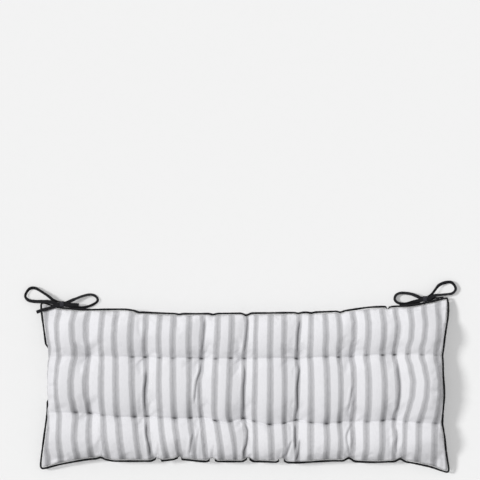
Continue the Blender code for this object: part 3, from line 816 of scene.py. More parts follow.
def build_twill_group():
    """Diagonal twill threads. Place is in metres over the cloth."""
    tree, given, out = new_group(
        "twill_threads",
        [
            ("Place", "NodeSocketVector", None), ("Thread", "NodeSocketFloat", 0.0006),
            ("Slub", "NodeSocketFloat", 0.3),
        ],
        [("Height", "NodeSocketFloat"), ("Fleck", "NodeSocketFloat")],
    )
    w = Wiring(tree)
    x, y, _ = w.parts(given.outputs["Place"])
    across = w.math("DIVIDE", x, given.outputs["Thread"])
    down = w.math("DIVIDE", y, given.outputs["Thread"])
    diagonal = w.math("ADD", across, down)
    rib = w.math("SINE", w.math("MULTIPLY", diagonal, math.pi))
    strand = w.math("SINE", w.math("MULTIPLY", across, 2 * math.pi))
    slub = w.noise(w.stretch(given.outputs["Place"], (1.0, 0.15, 1.0)), 420.0, 2.0)
    slub = w.math("MULTIPLY", w.math("SUBTRACT", slub, 0.5), given.outputs["Slub"])
    height = w.math("MULTIPLY_ADD", strand, 0.18, w.math("MULTIPLY", rib, 0.32))
    w.join(w.math("ADD", w.math("ADD", height, 0.5), slub), out.inputs["Height"])
    w.join(w.math("MULTIPLY_ADD", slub, 0.5, w.math("MULTIPLY", rib, 0.05)), out.inputs["Fleck"])
    return tree


def count_stripes(w, x, pitch):
    """The number of the stripe at x, with the middle of the stripe at the half."""
    return w.math("ADD", w.math("DIVIDE", w.math("ADD", x, STRIPE_SHIFT), pitch), COUNT_FROM)


def build_stripe_group():
    """Woven ticking stripes: how light the yarn is at a place on the cloth, from 0 to 1."""
    tree, given, out = new_group(
        "ticking_stripes",
        [("Place", "NodeSocketVector", None), ("Pitch", "NodeSocketFloat", STRIPE_PITCH)],
        [("Light", "NodeSocketFloat")],
    )
    w = Wiring(tree)
    x, _, _ = w.parts(given.outputs["Place"])
    repeats = count_stripes(w, x, given.outputs["Pitch"])
    off_line = w.math("ABSOLUTE", w.math("SUBTRACT", w.math("FRACT", repeats), 0.5))
    w.join(w.ramp(w.math("MULTIPLY", off_line, 2.0), YARNS), out.inputs["Light"])
    return tree


def build_fold_group():
    """The painted shadow line and the step of a sharp fold, from a mark that holds distance and how dark the painted
    shadow is.
    """
    tree, given, out = new_group(
        "sharp_fold",
        [("Mark", "NodeSocketVector", None), ("Half Width", "NodeSocketFloat", 0.0019)],
        [("Shade", "NodeSocketFloat"), ("Height", "NodeSocketFloat")],
    )
    w = Wiring(tree)
    off, shadow_strength, _ = w.parts(given.outputs["Mark"])
    away = w.math("DIVIDE", w.math("ABSOLUTE", off), given.outputs["Half Width"])
    shade = w.math("MULTIPLY", w.fall(w.math("POWER", away, 2.0)), shadow_strength)
    w.join(shade, out.inputs["Shade"])
    w.join(w.math("MULTIPLY", shade, -1.0), out.inputs["Height"])
    return tree


def build_stitch_group():
    """Small dark stitches where the rows cross each stripe, thread with painted shade of its pucker, each a little
    off its middle, and the thin row line of painted shade.
    """
    tree, given, out = new_group(
        "row_stitches",
        [
            ("Place", "NodeSocketVector", None), ("Firmness", "NodeSocketFloat", 0.7),
            ("Pitch", "NodeSocketFloat", STRIPE_PITCH), ("Row", "NodeSocketFloat", ROW_CLOTH),
        ],
        [("Shade", "NodeSocketFloat"), ("Line", "NodeSocketFloat")],
    )
    w = Wiring(tree)
    x, y, _ = w.parts(given.outputs["Place"])
    repeats = count_stripes(w, x, given.outputs["Pitch"])
    number = w.math("FLOOR", repeats)
    side = w.math("SIGN", y)
    mixed = w.math("SINE", w.math("MULTIPLY_ADD", number, 12.9898, w.math("MULTIPLY", side, 4.1)))
    chance = w.math("FRACT", w.math("MULTIPLY", mixed, 43.7))
    off = w.math("MULTIPLY", w.math("SUBTRACT", w.math("FRACT", repeats), 0.5), given.outputs["Pitch"])
    off = w.math("ADD", off, w.math("MULTIPLY", w.math("SUBTRACT", chance, 0.5), STITCH_STRAY))
    drop = w.math("SUBTRACT", w.math("ABSOLUTE", y), given.outputs["Row"])
    drop = w.math("ADD", drop, w.math("MULTIPLY", w.math("SINE", w.math("MULTIPLY", x, ROW_WAVE)), ROW_WANDER))
    wide = w.math("POWER", w.math("DIVIDE", off, STITCH_LENGTH), 2.0)
    tall = w.math("POWER", w.math("DIVIDE", drop, STITCH_HEIGHT), 2.0)
    firm = w.math("MULTIPLY", given.outputs["Firmness"], 1.3)
    w.join(w.math("MULTIPLY", w.fall(w.math("ADD", wide, tall)), firm, clamp=True), out.inputs["Shade"])
    w.join(w.fall(w.math("POWER", w.math("DIVIDE", drop, ROW_LINE_WIDTH), 2.0)), out.inputs["Line"])
    return tree


def cloth_shader(name, roughness, sheen):
    """A new dull material, its wiring and its shader."""
    material = bpy.data.materials.new(name)
    material.use_nodes = True
    shader = material.node_tree.nodes["Principled BSDF"]
    shader.inputs["Roughness"].default_value = roughness
    shader.inputs["Sheen Weight"].default_value = sheen
    shader.inputs["Specular IOR Level"].default_value = 0.25
    return material, Wiring(material.node_tree), shader


def place_group(w, group, **values):
    made = w.node("ShaderNodeGroup", node_tree=group)
    for label, value in values.items():
        w.put(value, made.inputs[label])
    return made


def bump(w, shader, height, depth, strength):
    made = w.node("ShaderNodeBump")
    made.inputs["Strength"].default_value = strength
    made.inputs["Distance"].default_value = depth
    w.put(height, made.inputs["Height"])
    w.join(made.outputs[0], shader.inputs["Normal"])


def ticking_cloth(twill, stripes, folds, stitches):
    """Off-white cotton ticking with grey stripes, painted shade in its creases, along pulled stripes, at the front
    seam and the left end, painted shadow lines in its folds, and dark stitches.
    """
    material, w, shader = cloth_shader("ticking_cotton", 0.88, 0.12)
    place = w.attribute("cloth_place")
    threads = place_group(w, twill, Place=place, Thread=TICKING_THREAD, Slub=0.5)
    stripe = place_group(w, stripes, Place=place)
    uneven = w.noise(w.stretch(place, (1.0, 0.25, 1.0)), 60.0, 3.0)
    light = w.math("MULTIPLY_ADD", w.math("SUBTRACT", uneven, 0.5), 0.05, stripe.outputs["Light"])
    light = w.math("ADD", light, threads.outputs["Fleck"], clamp=True)
    colour = w.mix(light, STRIPE_BLACK, COTTON_WHITE)
    # Painted shade: darker in the folds, along the pulled stripes, where the stripes turn into the front seam and
    # towards the left end.
    colour = w.mix(w.attribute("fold_shade", "Fac"), colour, PAINTED_SHADE_GREY)
    near = place_group(w, folds, Mark=w.attribute("fold_near"))
    far = place_group(w, folds, Mark=w.attribute("fold_far"))
    sewn = place_group(w, stitches, Place=place, Firmness=w.attribute("stitch_firmness", "Fac"))
    # Painted shadow lines in the sharp folds and along the rows, and the dark stitches with painted shade round
    # them.
    line = w.math("MAXIMUM", near.outputs["Shade"], far.outputs["Shade"])
    line = w.math("MAXIMUM", line, w.math("MULTIPLY", sewn.outputs["Shade"], 0.95))
    line = w.math("MAXIMUM", line, w.math("MULTIPLY", sewn.outputs["Line"], ROW_LINE_SHADE))
    colour = w.mix(w.math("MULTIPLY", line, 0.92, clamp=True), colour, SHADOW_AND_STITCH_BLACK)
    w.join(colour, shader.inputs["Base Color"])
    fold_height = w.math("ADD", near.outputs["Height"], far.outputs["Height"])
    fold_height = w.math("SUBTRACT", fold_height, sewn.outputs["Shade"])
    height = w.math("MULTIPLY_ADD", fold_height, 8.0, threads.outputs["Height"])
    bump(w, shader, height, TICKING_WEAVE, 0.6)
    return material


def charcoal_cloth(name, twill, place_name, thread, base):
    """Near-black cotton, for the piping and the tapes. The third part of the place is how much painted highlight
    lightens the cloth, over the top of a knot.
    """
    material, w, shader = cloth_shader(name, 0.85, 0.06)
    place = w.attribute(place_name)
    threads = place_group(w, twill, Place=place, Thread=thread, Slub=0.6)
    _, _, knot_top_highlight = w.parts(place)
    worn = w.noise(w.stretch(place, (1.0, 1.0, 0.0)), 90.0, 3.0)
    thread_light = w.math("MULTIPLY", threads.outputs["Height"], 0.45)
    light = w.math("ADD", thread_light, w.math("MULTIPLY", worn, 0.45), clamp=True)
    dark, pale, palest = (tuple(c * lighter for c in base) + (1,) for lighter in (0.45, 1.7, 4.0))
    colour = w.mix(light, dark, pale)
    # Painted highlight: the top of a knot is lighter.
    colour = w.mix(w.math("MULTIPLY", knot_top_highlight, 0.8), colour, palest)
    w.join(colour, shader.inputs["Base Color"])
    bump(w, shader, threads.outputs["Height"], TRIM_WEAVE, 0.8)
    return material


def floor_paper():
    material, w, shader = cloth_shader("studio_paper", 0.95, 0.0)
    grain = w.noise(w.node("ShaderNodeTexCoord").outputs["Object"], 40.0, 3.0)
    w.join(w.mix(grain, *PAPER_GREYS), shader.inputs["Base Color"])
    return material


# ---- cover -------------------------------------------------------------------------------------------


def gathers(u, v):
    """Small folds that run in from the seams and out from the tufts."""
    to_seam = CUT_DEPTH / 2 - np.abs(v)
    to_side = CUT_WIDTH / 2 - np.abs(u)
    side = np.where(v > 0, 1.2, 2.3)
    wide, fine = GATHER_PITCHES
    wave = np.sin(u * 2 * math.pi / wide + 2.1 * np.sin(u * 23) + np.where(v > 0, 0.7, 2.2))
    wave = wave + 0.6 * np.sin(u * 2 * math.pi / fine + 1.3 * np.sin(u * 41 + 1.0))
    fade = np.exp(-to_seam / GATHER_REACH) * smooth_step(to_seam / GATHER_START) * smooth_step(to_side / GATHER_END)
    lift = GATHER_LIFT * side * wave * fade
    wide, fine = SIDE_GATHER_PITCHES
    wave = np.sin(v * 2 * math.pi / wide + 1.7 * np.sin(v * 31) + np.sign(u))
    wave = wave + 0.5 * np.sin(v * 2 * math.pi / fine + 1)
    fade = np.exp(-to_side / SIDE_GATHER_REACH)
    fade = fade * smooth_step(to_side / GATHER_START) * smooth_step(to_seam / GATHER_END)
    lift = lift + GATHER_LIFT * wave * fade
    lift = lift + EDGE_ROLL * bell(to_seam - ROLL_AT, ROLL_WIDTH) * smooth_step(to_side / 0.03)
    lift = lift + SIDE_ROLL * bell(to_side - ROLL_AT, ROLL_WIDTH) * smooth_step(to_seam / 0.03)
    for n, crease in enumerate(CREASES[1:-1]):
        for row, turn in ((1, 0.4 + n), (-1, 1.9 + 1.7 * n)):
            du, dv = u - crease.cloth, v - row * ROW_CLOTH
            away = np.hypot(du, dv)
            around = np.arctan2(dv, du)
            spokes = np.cos(5 * around + turn) + 0.6 * np.cos(8 * around - 2 * turn)
            lift = lift + SPOKE_LIFT * spokes * bell(away - SPOKE_AT, SPOKE_WIDTH)
    return lift


def row_groove(u, v):
    """The fine line that the rows of sewing draw along the cloth."""
    off = np.abs(v) - ROW_CLOTH + ROW_WANDER * np.sin(u * ROW_WAVE)
    inside = smooth_step((CUT_WIDTH / 2 - np.abs(u)) / 0.04)
    return -np.where(v > 0, GROOVE_AT_BACK, GROOVE_IN_FRONT) * bell(off, GROOVE_WIDTH) * inside


def make_cover(material):
    """Top and underside of the cover as two grids that share the seam. The underside has half as many rows."""
    across = np.linspace(-CUT_WIDTH / 2, CUT_WIDTH / 2, ACROSS + 1)
    down = np.linspace(-CUT_DEPTH / 2, CUT_DEPTH / 2, DOWN + 1)
    uu, vv = np.meshgrid(across, down, indexing="ij")
    x, y = plan(uu, vv)
    top = top_height(uu, vv)
    under = under_height(uu, vv)
    shape = uu.shape
    rim = np.zeros(shape, bool)
    rim[[0, -1], :] = True
    rim[:, [0, -1]] = True
    top_at = np.arange(uu.size).reshape(shape)
    kept = ~rim
    kept[1::2, :] = False
    kept[:, 1::2] = False
    under_at = np.full(shape, -1)
    under_at[rim] = top_at[rim]
    under_at[kept] = uu.size + np.arange(kept.sum())
    points = np.column_stack([x.ravel(), y.ravel(), top.ravel()])
    below = np.column_stack([x[kept], y[kept], under[kept]])
    place = np.column_stack([uu.ravel(), vv.ravel(), np.ones(uu.size)])
    place_below = np.column_stack([uu[kept], vv[kept], np.zeros(kept.sum())])
    a, b, c, d = top_at[:-1, :-1], top_at[1:, :-1], top_at[1:, 1:], top_at[:-1, 1:]
    faces = [tuple(f) for f in np.stack([a, b, c, d], axis=-1).reshape(-1, 4).tolist()]
    around = ((0, 0), (0, 1), (0, 2), (1, 2), (2, 2), (2, 1), (2, 0), (1, 0))
    for i in range(0, shape[0] - 1, 2):
        for j in range(0, shape[1] - 1, 2):
            corners = [under_at[i + right, j + up] for right, up in around]
            faces.append(tuple(int(at) for at in corners if at >= 0))
    cover = mesh_object("cushion_cover", np.vstack([points, below]), faces, material)
    mark_points(cover.data, "cloth_place", np.vstack([place, place_below]))
    return cover


def read_place(mesh):
    """The place of each point on the cloth, with 1 for the top and 0 for the underside."""
    flat = np.empty(len(mesh.vertices) * 3, np.float32)
    mesh.attributes["cloth_place"].data.foreach_get("vector", flat)
    return flat.reshape(-1, 3).astype(float)


def along_fold(fold, x, y):
    """Distance to the right of a fold, and how much of the fold is there, from 0 past its ends to 1."""
    line = np.array(fold.line)[::-1]
    along = (y - line[0, 1]) / (line[-1, 1] - line[0, 1])
    off = x - smooth_through(y, line[:, 1], line[:, 0])
    share = smooth_step(along / 0.22) * smooth_step((1 - along) / 0.22) * ((along > 0) & (along < 1))
    return off, share


def fold_marks(x, y, folds):
    """For each place, the distance to the nearest of the folds and how dark that fold's painted shadow is."""
    nearest = np.full(x.shape, 0.03)
    shadow_strength = np.zeros_like(x)
    for fold in folds:
        off, share = along_fold(fold, x, y)
        closer = (np.abs(off) < np.abs(nearest)) & (share > 0)
        nearest = np.where(closer, off, nearest)
        shadow_strength = np.where(closer, share * fold.dark, shadow_strength)
    return np.column_stack([nearest, shadow_strength * bell(nearest, FOLD_LINE_REACH), np.zeros_like(x)])


def of_stitches(place, field):
    """A value of STITCHES at each place across the stripes, and how far it lies from the middle of its stripe."""
    repeat = np.round((place + STRIPE_SHIFT) / STRIPE_PITCH)
    off = place + STRIPE_SHIFT - repeat * STRIPE_PITCH
    number = np.clip(repeat.astype(int) + len(STITCHES) // 2, 0, len(STITCHES) - 1)
    return np.array([getattr(s, field) for s in STITCHES])[number], off


def stitch_pulls(v, place):
    """How hard the stitches of the rows pull the cloth along each stripe, mostly on the back side of the row."""
    pull = np.zeros_like(v)
    for row, field, weight in ((ROW_CLOTH, "back_pull", 0.75), (-ROW_CLOTH, "front_pull", 1.0)):
        firm, off = of_stitches(place, field)
        behind = v - row
        reach = np.where(behind > 0, PULL_BEHIND, PULL_AHEAD)
        fade = np.exp(-np.abs(behind) / reach) * (np.abs(behind) < PULL_FARTHEST)
        pull += weight * firm * fade * bell(off, PULL_WIDTH)
    return pull


def seam_shade(v, place):
    """How much painted shade darkens the stripes where they turn down into the front seam."""
    firm, off = of_stitches(place, "seam")
    return firm * np.exp(-(v + CUT_DEPTH / 2) / SEAM_SHADE_REACH) * bell(off, SEAM_SHADE_WIDTH)


def tuck_fans(x, v):
    """Ridges that fan out from the tucks of the front seam."""
    to_seam = v + CUT_DEPTH / 2
    lift = np.zeros_like(x)
    for number, tuck in enumerate(FRONT_TUCKS):
        off = x - tuck.x
        away = np.hypot(off, to_seam)
        around = np.arctan2(off, to_seam + FAN_BEHIND)
        ridges = np.cos(9 * around + 1.3 * number) + 0.5 * np.cos(15 * around + number)
        lift += FAN_SHARE * tuck.depth * ridges * bell(away - FAN_AT, FAN_WIDTH)
    return lift * smooth_step(to_seam / GATHER_START)


def sharp_folds(x, y):
    """Height of the sharp folds over places seen from above."""
    lift = np.zeros_like(x)
    for fold in FOLDS:
        off, share = along_fold(fold, x, y)
        width = np.where(off < 0, fold.left, fold.right)
        lift -= fold.depth * share * bell(off, width)
        lift += fold.ridge * share * bell(off + 2.2 * fold.left, 1.3 * fold.left)
    return lift


def side_bulge(u, v):
    """How far the left side swells out over its seam in the middle."""
    to_side = u + CUT_WIDTH / 2
    along = smooth_step((v - BULGE_FROM) / BULGE_GROWS) * smooth_step((BULGE_TO - v) / BULGE_FADES)
    return BULGE * along * bell(to_side - BULGE_AT, BULGE_WIDTH) * smooth_step(to_side / 0.004)


def stripe_place(x, y):
    """Where a place seen from above lies across the woven stripes, measured over the flat cloth."""
    count = np.arange(len(STRIPES[0][1]))
    levels = np.array([level for level, _ in STRIPES])
    at = np.empty((len(levels), len(x)))
    for row, (_, middles) in enumerate(STRIPES):
        ends = (middles[0] - STRIPE_PITCH, *middles, middles[-1] + STRIPE_PITCH)
        at[row] = smooth_through(x, ends, np.concatenate([[-1], count, [count[-1] + 1]]))
    place = np.clip(np.interp(-y, -levels, np.arange(len(levels))), 0, len(levels) - 1.001)
    row = place.astype(int)
    share = smooth_step(place - row) * 0.5 + (place - row) * 0.5
    each = np.arange(len(x))
    number = at[row, each] * (1 - share) + at[row + 1, each] * share
    return (number - count[-1] / 2) * STRIPE_PITCH - STRIPE_SHIFT


def sewn_weight(place):
    """How firmly the sewing holds each point of the cover, from 0 for loose cloth to 1."""
    u, v, top = place.T
    to_edge = np.minimum(CUT_WIDTH / 2 - np.abs(u), CUT_DEPTH / 2 - np.abs(v))
    held = np.where(to_edge < HELD_AT_SEAM, 1.0, 0.0)
    to_row = np.abs(np.abs(v) - ROW_CLOTH)
    held = np.maximum(held, 0.5 * bell(to_row, HELD_AT_ROW))
    for crease in CREASES[1:-1]:
        held = np.maximum(held, bell(np.hypot(u - crease.cloth, to_row), HELD_AT_TUFT))
    return np.where(top < 0.5, 1.0, held)


def mesh_with_modifiers(obj):
    return bpy.data.meshes.new_from_object(obj.evaluated_get(bpy.context.evaluated_depsgraph_get()))


def fill_out(cover):
    """The cover is let out a little and blown up like cloth over its stuffing. The shape that it takes is kept."""
    scene = bpy.context.scene
    weights = sewn_weight(read_place(cover.data))
    sewn = cover.vertex_groups.new(name="sewn")
    for index, weight in enumerate(weights):
        if weight > LEAST_HELD:
            sewn.add([index], float(weight), "REPLACE")
    filling = cover.modifiers.new("filling", "CLOTH")
    cloth = filling.settings
    cloth.quality = FILL_QUALITY
    cloth.mass = CLOTH_MASS
    cloth.tension_stiffness = THREAD_STIFFNESS
    cloth.compression_stiffness = THREAD_STIFFNESS
    cloth.shear_stiffness = SHEAR_STIFFNESS
    cloth.bending_stiffness = BEND_STIFFNESS
    cloth.use_pressure = True
    cloth.uniform_pressure_force = FILL_PRESSURE
    cloth.shrink_min = -CLOTH_EASE
    cloth.vertex_group_mass = "sewn"
    cloth.effector_weights.gravity = 0
    filling.collision_settings.use_collision = False
    filling.collision_settings.use_self_collision = False
    scene.frame_start, scene.frame_end = 1, FILL_FRAMES
    for frame_number in range(1, FILL_FRAMES + 1):
        scene.frame_set(frame_number)
    filled = mesh_with_modifiers(cover)
    start, end = read_points(cover.data), read_points(filled)
    move = end - start
    far = np.linalg.norm(move, axis=1, keepdims=True)
    move *= np.minimum(1, MOST_SWELL / np.maximum(far, 1e-9))
    cover.modifiers.clear()
    cover.vertex_groups.clear()
    scene.frame_set(1)
    bpy.data.meshes.remove(filled)
    cover.data.vertices.foreach_set("co", (start + move).reshape(-1))
    cover.data.update()


def finish_cover(cover):
    """Doubles the grid, then adds the folds, the sewn rows and the marks that the material reads, painted shade
    among them.
    """
    more = cover.modifiers.new("finer", "SUBSURF")
    more.levels = more.render_levels = 1
    fine = mesh_with_modifiers(cover)
    cover.modifiers.clear()
    cover.data = fine
    points = read_points(fine)
    place = read_place(fine)
    u, v, on_top = place[:, 0].copy(), place[:, 1], place[:, 2]
    x, y = points[:, 0].copy(), points[:, 1]
    across = stripe_place(x, y)
    folds = sharp_folds(x, y)
    pulls = stitch_pulls(v, across)
    lift = gathers(u, v) + row_groove(u, v)
    lift += folds - STITCH_SINK * pulls + tuck_fans(x, v)
    points[:, 0] -= side_bulge(u, np.where(on_top > 0.5, v, 1.0))
    points[:, 2] = np.maximum(points[:, 2] + lift * on_top, 0.0)
    # Painted shade for the material: deeper in the folds, along the pulled stripes, where the stripes turn into the
    # front seam and towards the left end.
    shade = FOLD_SHADE * np.clip(-folds / DEEP_FOLD, 0, 1) ** 2 + PULL_SHADE * pulls
    shade = shade + SEAM_SHADE * seam_shade(v, across)
    shade = shade + np.where(u < 0, END_SHADE * np.exp(-(u + CUT_WIDTH / 2) / END_SHADE_REACH), 0.0)
    mark_values(fine, "fold_shade", np.clip(shade, 0, 1) * on_top)
    # How dark each stitch is, thread with painted shade round it.
    back, _ = of_stitches(across, "back")
    front, _ = of_stitches(across, "front")
    mark_values(fine, "stitch_firmness", np.where(v > 0, back, front) * on_top)
    # Marks for the painted shadow lines of the sharp folds.
    for name, some in (("fold_near", FOLDS[::2]), ("fold_far", FOLDS[1::2])):
        marks = fold_marks(points[:, 0], y, some)
        marks[:, 1] *= on_top
        mark_points(fine, name, marks)
    place[:, 0] = across
    fine.attributes["cloth_place"].data.foreach_set("vector", place.astype(np.float32).reshape(-1))
    fine.vertices.foreach_set("co", points.reshape(-1))
    fine.update()
    fine.shade_smooth()


# ---- piping ------------------------------------------------------------------------------------------


def seam_loop(step):
    """The seam's points in order round the cushion, and the outward direction at each."""
    half_u, half_v = CUT_WIDTH / 2, CUT_DEPTH / 2
    along_u = np.linspace(-half_u, half_u, round(CUT_WIDTH / step) + 1)[:-1]
    along_v = np.linspace(-half_v, half_v, round(CUT_DEPTH / step) + 1)[:-1]
    u = np.concatenate([along_u, np.full(len(along_v), half_u), -along_u, np.full(len(along_v), -half_u)])
    v = np.concatenate([np.full(len(along_u), -half_v), along_v, np.full(len(along_u), half_v), -along_v])
    x, y = plan(u, v)
    line = np.stack([x, y, seam_height(u, v)], axis=1)
    for _ in range(3):
        line = (np.roll(line, 1, axis=0) + 2 * line + np.roll(line, -1, axis=0)) / 4
    along = np.roll(line, -1, axis=0) - np.roll(line, 1, axis=0)
    outward = np.stack([along[:, 1], -along[:, 0], np.zeros(len(line))], axis=1)
    return line, outward / np.linalg.norm(outward, axis=1)[:, None]


def piping_sunk(line, outward):
    """How far the piping sinks into the cover: out of sight in some tucks and under the left bulge, a little on
    the right side."""
    left, right = outward[:, 0] < -0.7, outward[:, 0] > 0.7
    front, back = outward[:, 1] < -0.6, outward[:, 1] > 0.6
    y = line[:, 1]
    sunk = np.where(right, SUNK_AT_RIGHT + SUNK_WAVE * np.sin(y * 55), 0.0)
    start, end = SUNK_UNDER_BULGE
    under_bulge = smooth_step((y - start) / SUNK_GRADUAL) * smooth_step((end - y) / SUNK_GRADUAL)
    sunk = sunk + np.where(left, SUNK_IN_BULGE * under_bulge, 0.0)
    for facing, gaps in ((front, HIDDEN_IN_FRONT), (back, HIDDEN_AT_BACK)):
        for middle, half in gaps:
            near = (half + 0.0015 - np.abs(line[:, 0] - middle)) / 0.003
            sunk = sunk + np.where(facing, SUNK_IN_TUCK * smooth_step(near), 0.0)
    return sunk


def make_piping(material):
    """One covered cord round the seam, slightly uneven, as cord wrapped in cloth is."""
    line, outward = seam_loop(PIPING_STEP)
    sunk = piping_sunk(line, outward)
    centre = line + outward * (PIPING_RADIUS + SEWN_GAP - sunk)[:, None]
    centre[:, 2] -= 0.25 * np.clip(sunk - 0.003, 0, None)
    count = len(line)
    far = np.arange(count) * PIPING_STEP
    uneven = 0.05 * np.sin(far * 410 + 2 * np.sin(far * 97))
    radius = PIPING_RADIUS * (1 + uneven + 0.10 * np.sin(far * 61 + 1.3 * np.sin(far * 23)))
    turns = 2 * math.pi * (np.arange(PIPING_SIDES) + 0.5) / PIPING_SIDES
    up = np.array([0, 0, 1.0])
    away = outward[:, None, :] * np.cos(turns)[None, :, None] + up * np.sin(turns)[None, :, None]
    points = (centre[:, None, :] + away * radius[:, None, None]).reshape(-1, 3)
    piping = mesh_object("seam_piping", points, tube_faces(count, PIPING_SIDES, closed=True), material)
    round_it = np.tile(turns * PIPING_RADIUS, count)
    place = np.stack([np.repeat(far, PIPING_SIDES), round_it, np.zeros(len(round_it))], axis=1)
    mark_points(piping.data, "wrap_place", place)
    return piping


# ---- ties --------------------------------------------------------------------------------------------


def along_line(points):
    """Unit directions along a line of points."""
    ahead = np.vstack([points[1:], points[-1:]]) - np.vstack([points[:1], points[:-1]])
    return ahead / np.linalg.norm(ahead, axis=1)[:, None]


def lying(bends, layer=0.0, most=MOST_LEAN, knot=None):
    """Places and width directions of a tape at its bends, moved up by so many layers of tape. It leans by no more
    than most degrees, and less near a knot that is given."""
    places = np.array([(b.x, b.y, b.z) for b in bends])
    along = along_line(places)
    across = np.cross(along, (0, 0, 1))
    across /= np.linalg.norm(across, axis=1)[:, None]
    if knot:
        from_knot = np.hypot(places[:, 0] - knot.x, places[:, 1] - knot.y)
        most = most - KNOT_FLATTEN * bell(from_knot, FLATTEN_REACH)
    lean = np.radians(np.clip([b.lean for b in bends], -most, most))[:, None]
    width = across * np.cos(lean) + np.cross(across, along) * np.sin(lean)
    return places + np.cross(width, along) * layer * LAYER_PITCH, width


def knot_wrap(bow):
    """The turn of tape that holds the knot: under the other layers, up in front, over them and down behind."""
    middle = KNOT_BOTTOM + WRAP_HALF_HEIGHT
    rows = []
    for degrees in (0, 30, 60):
        ahead, aside = math.cos(math.radians(degrees)), math.sin(math.radians(degrees))
        x, y = WRAP_START[0] + KNOT_TURN * aside, WRAP_START[1] + KNOT_TURN * ahead
        rows.append((x, y, KNOT_BOTTOM, -aside, -ahead, 0.0))
    for degrees in range(-60, 181, 30):
        across, up = math.cos(math.radians(degrees)), math.sin(math.radians(degrees))
        y = -math.copysign(abs(across) ** (2 / WRAP_SQUARENESS), across) * WRAP_HALF_DEPTH
        z = math.copysign(abs(up) ** (2 / WRAP_SQUARENESS), up) * WRAP_HALF_HEIGHT
        rows.append((0.0, y, middle + z, -1.0, 0.0, 0.0))
    for degrees in (30, 60, 90):
        down, back = math.cos(math.radians(degrees)), math.sin(math.radians(degrees))
        rows.append((KNOT_TURN * (down - 1), WRAP_HALF_DEPTH + 0.0002, middle - KNOT_TURN * back, -down, 0.0, back))
    rows = np.array(rows)
    places = np.column_stack([bow.knot.x - bow.side * rows[:, 0], bow.knot.y + rows[:, 1], rows[:, 2]])
    return places, rows[:, 3:] * (1, -bow.side, -bow.side)


def through_bends(places, widths):
    """A smooth line through the bends with a point every TAPE_STEP, and the width direction at each."""
    chord = np.linalg.norm(np.diff(places, axis=0), axis=1)
    at = np.concatenate([[0], np.cumsum(np.sqrt(chord))])
    slope = np.gradient(places, at, axis=0)
    turn = np.gradient(widths, at, axis=0)
    line, facing = [], []
    for i, length in enumerate(chord):
        steps = max(2, round(length / TAPE_STEP))
        span = at[i + 1] - at[i]
        for t in np.arange(steps) / steps:
            for made, ends, tangent in ((line, places, slope), (facing, widths, turn)):
                made.append(between(ends[i], ends[i + 1], tangent[i] * span, tangent[i + 1] * span, t))
    line.append(places[-1])
    facing.append(widths[-1])
    return np.array(line), np.array(facing)


def make_tape(name, bow, pieces, material):
    """A flat woven tape along its pieces, with thicker edges and a slight cup."""
    line, facing = through_bends(np.vstack([p[0] for p in pieces]), np.vstack([p[1] for p in pieces]))
    along = along_line(line)
    facing -= along * np.sum(facing * along, axis=1)[:, None]
    facing /= np.linalg.norm(facing, axis=1)[:, None]
    normal = np.cross(facing, along)
    from_knot = np.hypot(line[:, 0] - bow.knot.x, line[:, 1] - bow.knot.y)
    half_width = TAPE_WIDTH / 2 * (1 - KNOT_DRAW * bell(from_knot, KNOT_REACH))
    far = np.concatenate([[0], np.cumsum(np.linalg.norm(np.diff(line, axis=0), axis=1))])
    half_width = half_width * (1 + 0.03 * np.sin(far * 310 + bow.side))
    # A painted highlight lightens the tape over the top of the knot.
    over_knot = smooth_step((line[:, 2] - KNOT_BOTTOM - 1.6 * WRAP_HALF_HEIGHT) / 0.0012)
    knot_top_highlight = over_knot * (from_knot < WRAP_HALF_DEPTH)
    ring = TAPE_SECTION + tuple((w, -n) for w, n in reversed(TAPE_SECTION))
    around = len(ring)
    points = [line + facing * (half_width * w)[:, None] + normal * TAPE_THICK * n for w, n in ring]
    place = [np.column_stack([far, np.full(len(far), w * TAPE_WIDTH / 2), knot_top_highlight]) for w, _ in ring]
    points = np.stack(points, axis=1).reshape(-1, 3)
    place = np.stack(place, axis=1).reshape(-1, 3)
    last = around * (len(line) - 1)
    caps = [tuple(range(around)), tuple(last + k for k in reversed(range(around)))]
    tape = mesh_object(name, points, caps + tube_faces(len(line), around), material)
    tape.data.set_sharp_from_angle(angle=math.radians(60))
    mark_points(tape.data, "tape_place", place)
    return tape, line


def tie_bow(label, bow, material):
    """Two tapes tied together. One makes the far loop. The other wraps the knot and makes the near loop, which on
    the left bow lies flatter near the knot."""
    flat_at = bow.knot if bow.side < 0 else None
    near_loop = [b._replace(x=bow.knot.x + (b.x - bow.knot.x) * LOOP_STRETCH) for b in bow.near_loop]
    far = [
        lying(bow.stem, 0.5, MOST_STEM_LEAN),
        lying(bow.far_loop, knot=bow.knot),
        lying(bow.near_tail, 0.0, MOST_STEM_LEAN),
    ]
    near = [
        lying(bow.stem, -0.5, MOST_STEM_LEAN),
        knot_wrap(bow),
        lying(near_loop, knot=flat_at),
        lying(bow.far_tail),
    ]
    for which, pieces in (("far", far), ("near", near)):
        node = f"tie_{label}_{which}"
        tape, line = make_tape(f"{node}_tape", bow, pieces, material)
        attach(tape, "root")
        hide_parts(node)


# ---- studio ------------------------------------------------------------------------------------------


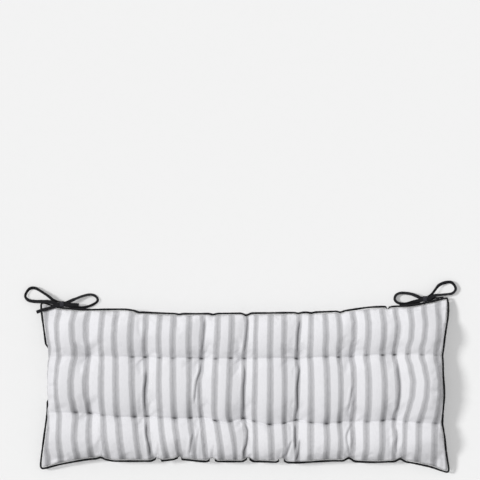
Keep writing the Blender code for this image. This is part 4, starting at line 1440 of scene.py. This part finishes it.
def studio():
    """White paper under an even room. The window light passes the paper by, and the other two reach nothing else."""
    half = FLOOR_SIZE / 2
    corners = [(x * half, y * half, FLOOR_HEIGHT) for x, y in ((-1, -1), (1, -1), (1, 1), (-1, 1))]
    floor = mesh_object("studio_floor", corners, [(0, 1, 2, 3)], floor_paper())
    world = bpy.data.worlds.new("soft_room")
    world.use_nodes = True
    world.node_tree.nodes["Background"].inputs["Color"].default_value = (1, 1, 1, 1)
    world.node_tree.nodes["Background"].inputs["Strength"].default_value = ROOM_LIGHT
    bpy.context.scene.world = world
    window = soft_sun("window_light", WINDOW_LIGHT, WINDOW_SPREAD, WINDOW_FROM)
    side = soft_sun("side_light", SIDE_LIGHT, SIDE_SPREAD, SIDE_FROM)
    overhead = soft_sun("overhead_light", OVERHEAD_LIGHT, OVERHEAD_SPREAD, (0.0, 0.0, 1.0))
    floor_lit = bpy.data.collections.new("floor_lit")
    floor_lit.objects.link(floor)
    side.light_linking.receiver_collection = floor_lit
    overhead.light_linking.receiver_collection = floor_lit
    floor_unlit = bpy.data.collections.new("floor_unlit")
    floor_unlit.objects.link(floor)
    floor_unlit.collection_objects[0].light_linking.link_state = "EXCLUDE"
    window.light_linking.receiver_collection = floor_unlit


def soft_sun(name, strength, spread, source):
    """A far light that shines from the source toward the middle, spread over so many degrees."""
    lamp = bpy.data.lights.new(name, "SUN")
    lamp.energy = strength
    lamp.angle = math.radians(spread)
    lamp_object = bpy.data.objects.new(name, lamp)
    lamp_object.rotation_euler = Vector(source).to_track_quat("Z", "Y").to_euler()
    bpy.context.scene.collection.objects.link(lamp_object)
    return lamp_object


def aim_camera():
    data = bpy.data.cameras.new("photo_view")
    data.sensor_width = 36.0
    data.lens = LENS
    camera = bpy.data.objects.new("photo_view", data)
    camera.location = CAMERA_AT
    toward = Vector(LOOK_AT) - Vector(CAMERA_AT)
    camera.rotation_euler = toward.to_track_quat("-Z", "Y").to_euler()
    bpy.context.scene.collection.objects.link(camera)
    bpy.context.scene.camera = camera


def main():
    aim_camera()
    bpy.context.scene.view_settings.view_transform = "Standard"
    studio()
    twill = build_twill_group()
    stripes = build_stripe_group()
    ticking = ticking_cloth(twill, stripes, build_fold_group(), build_stitch_group())
    trim = charcoal_cloth("charcoal_piping", twill, "wrap_place", PIPING_THREAD, PIPING_CHARCOAL)
    tape = charcoal_cloth("charcoal_tape", twill, "tape_place", TAPE_THREAD, TAPE_CHARCOAL)
    tie_bow("left", LEFT_BOW, tape)
    tie_bow("right", RIGHT_BOW, tape)
    cover = make_cover(ticking)
    fill_out(cover)
    finish_cover(cover)
    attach(cover, "root")
    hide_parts("cushion")
    piping = make_piping(trim)
    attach(piping, "root")
    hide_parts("piping")


main()
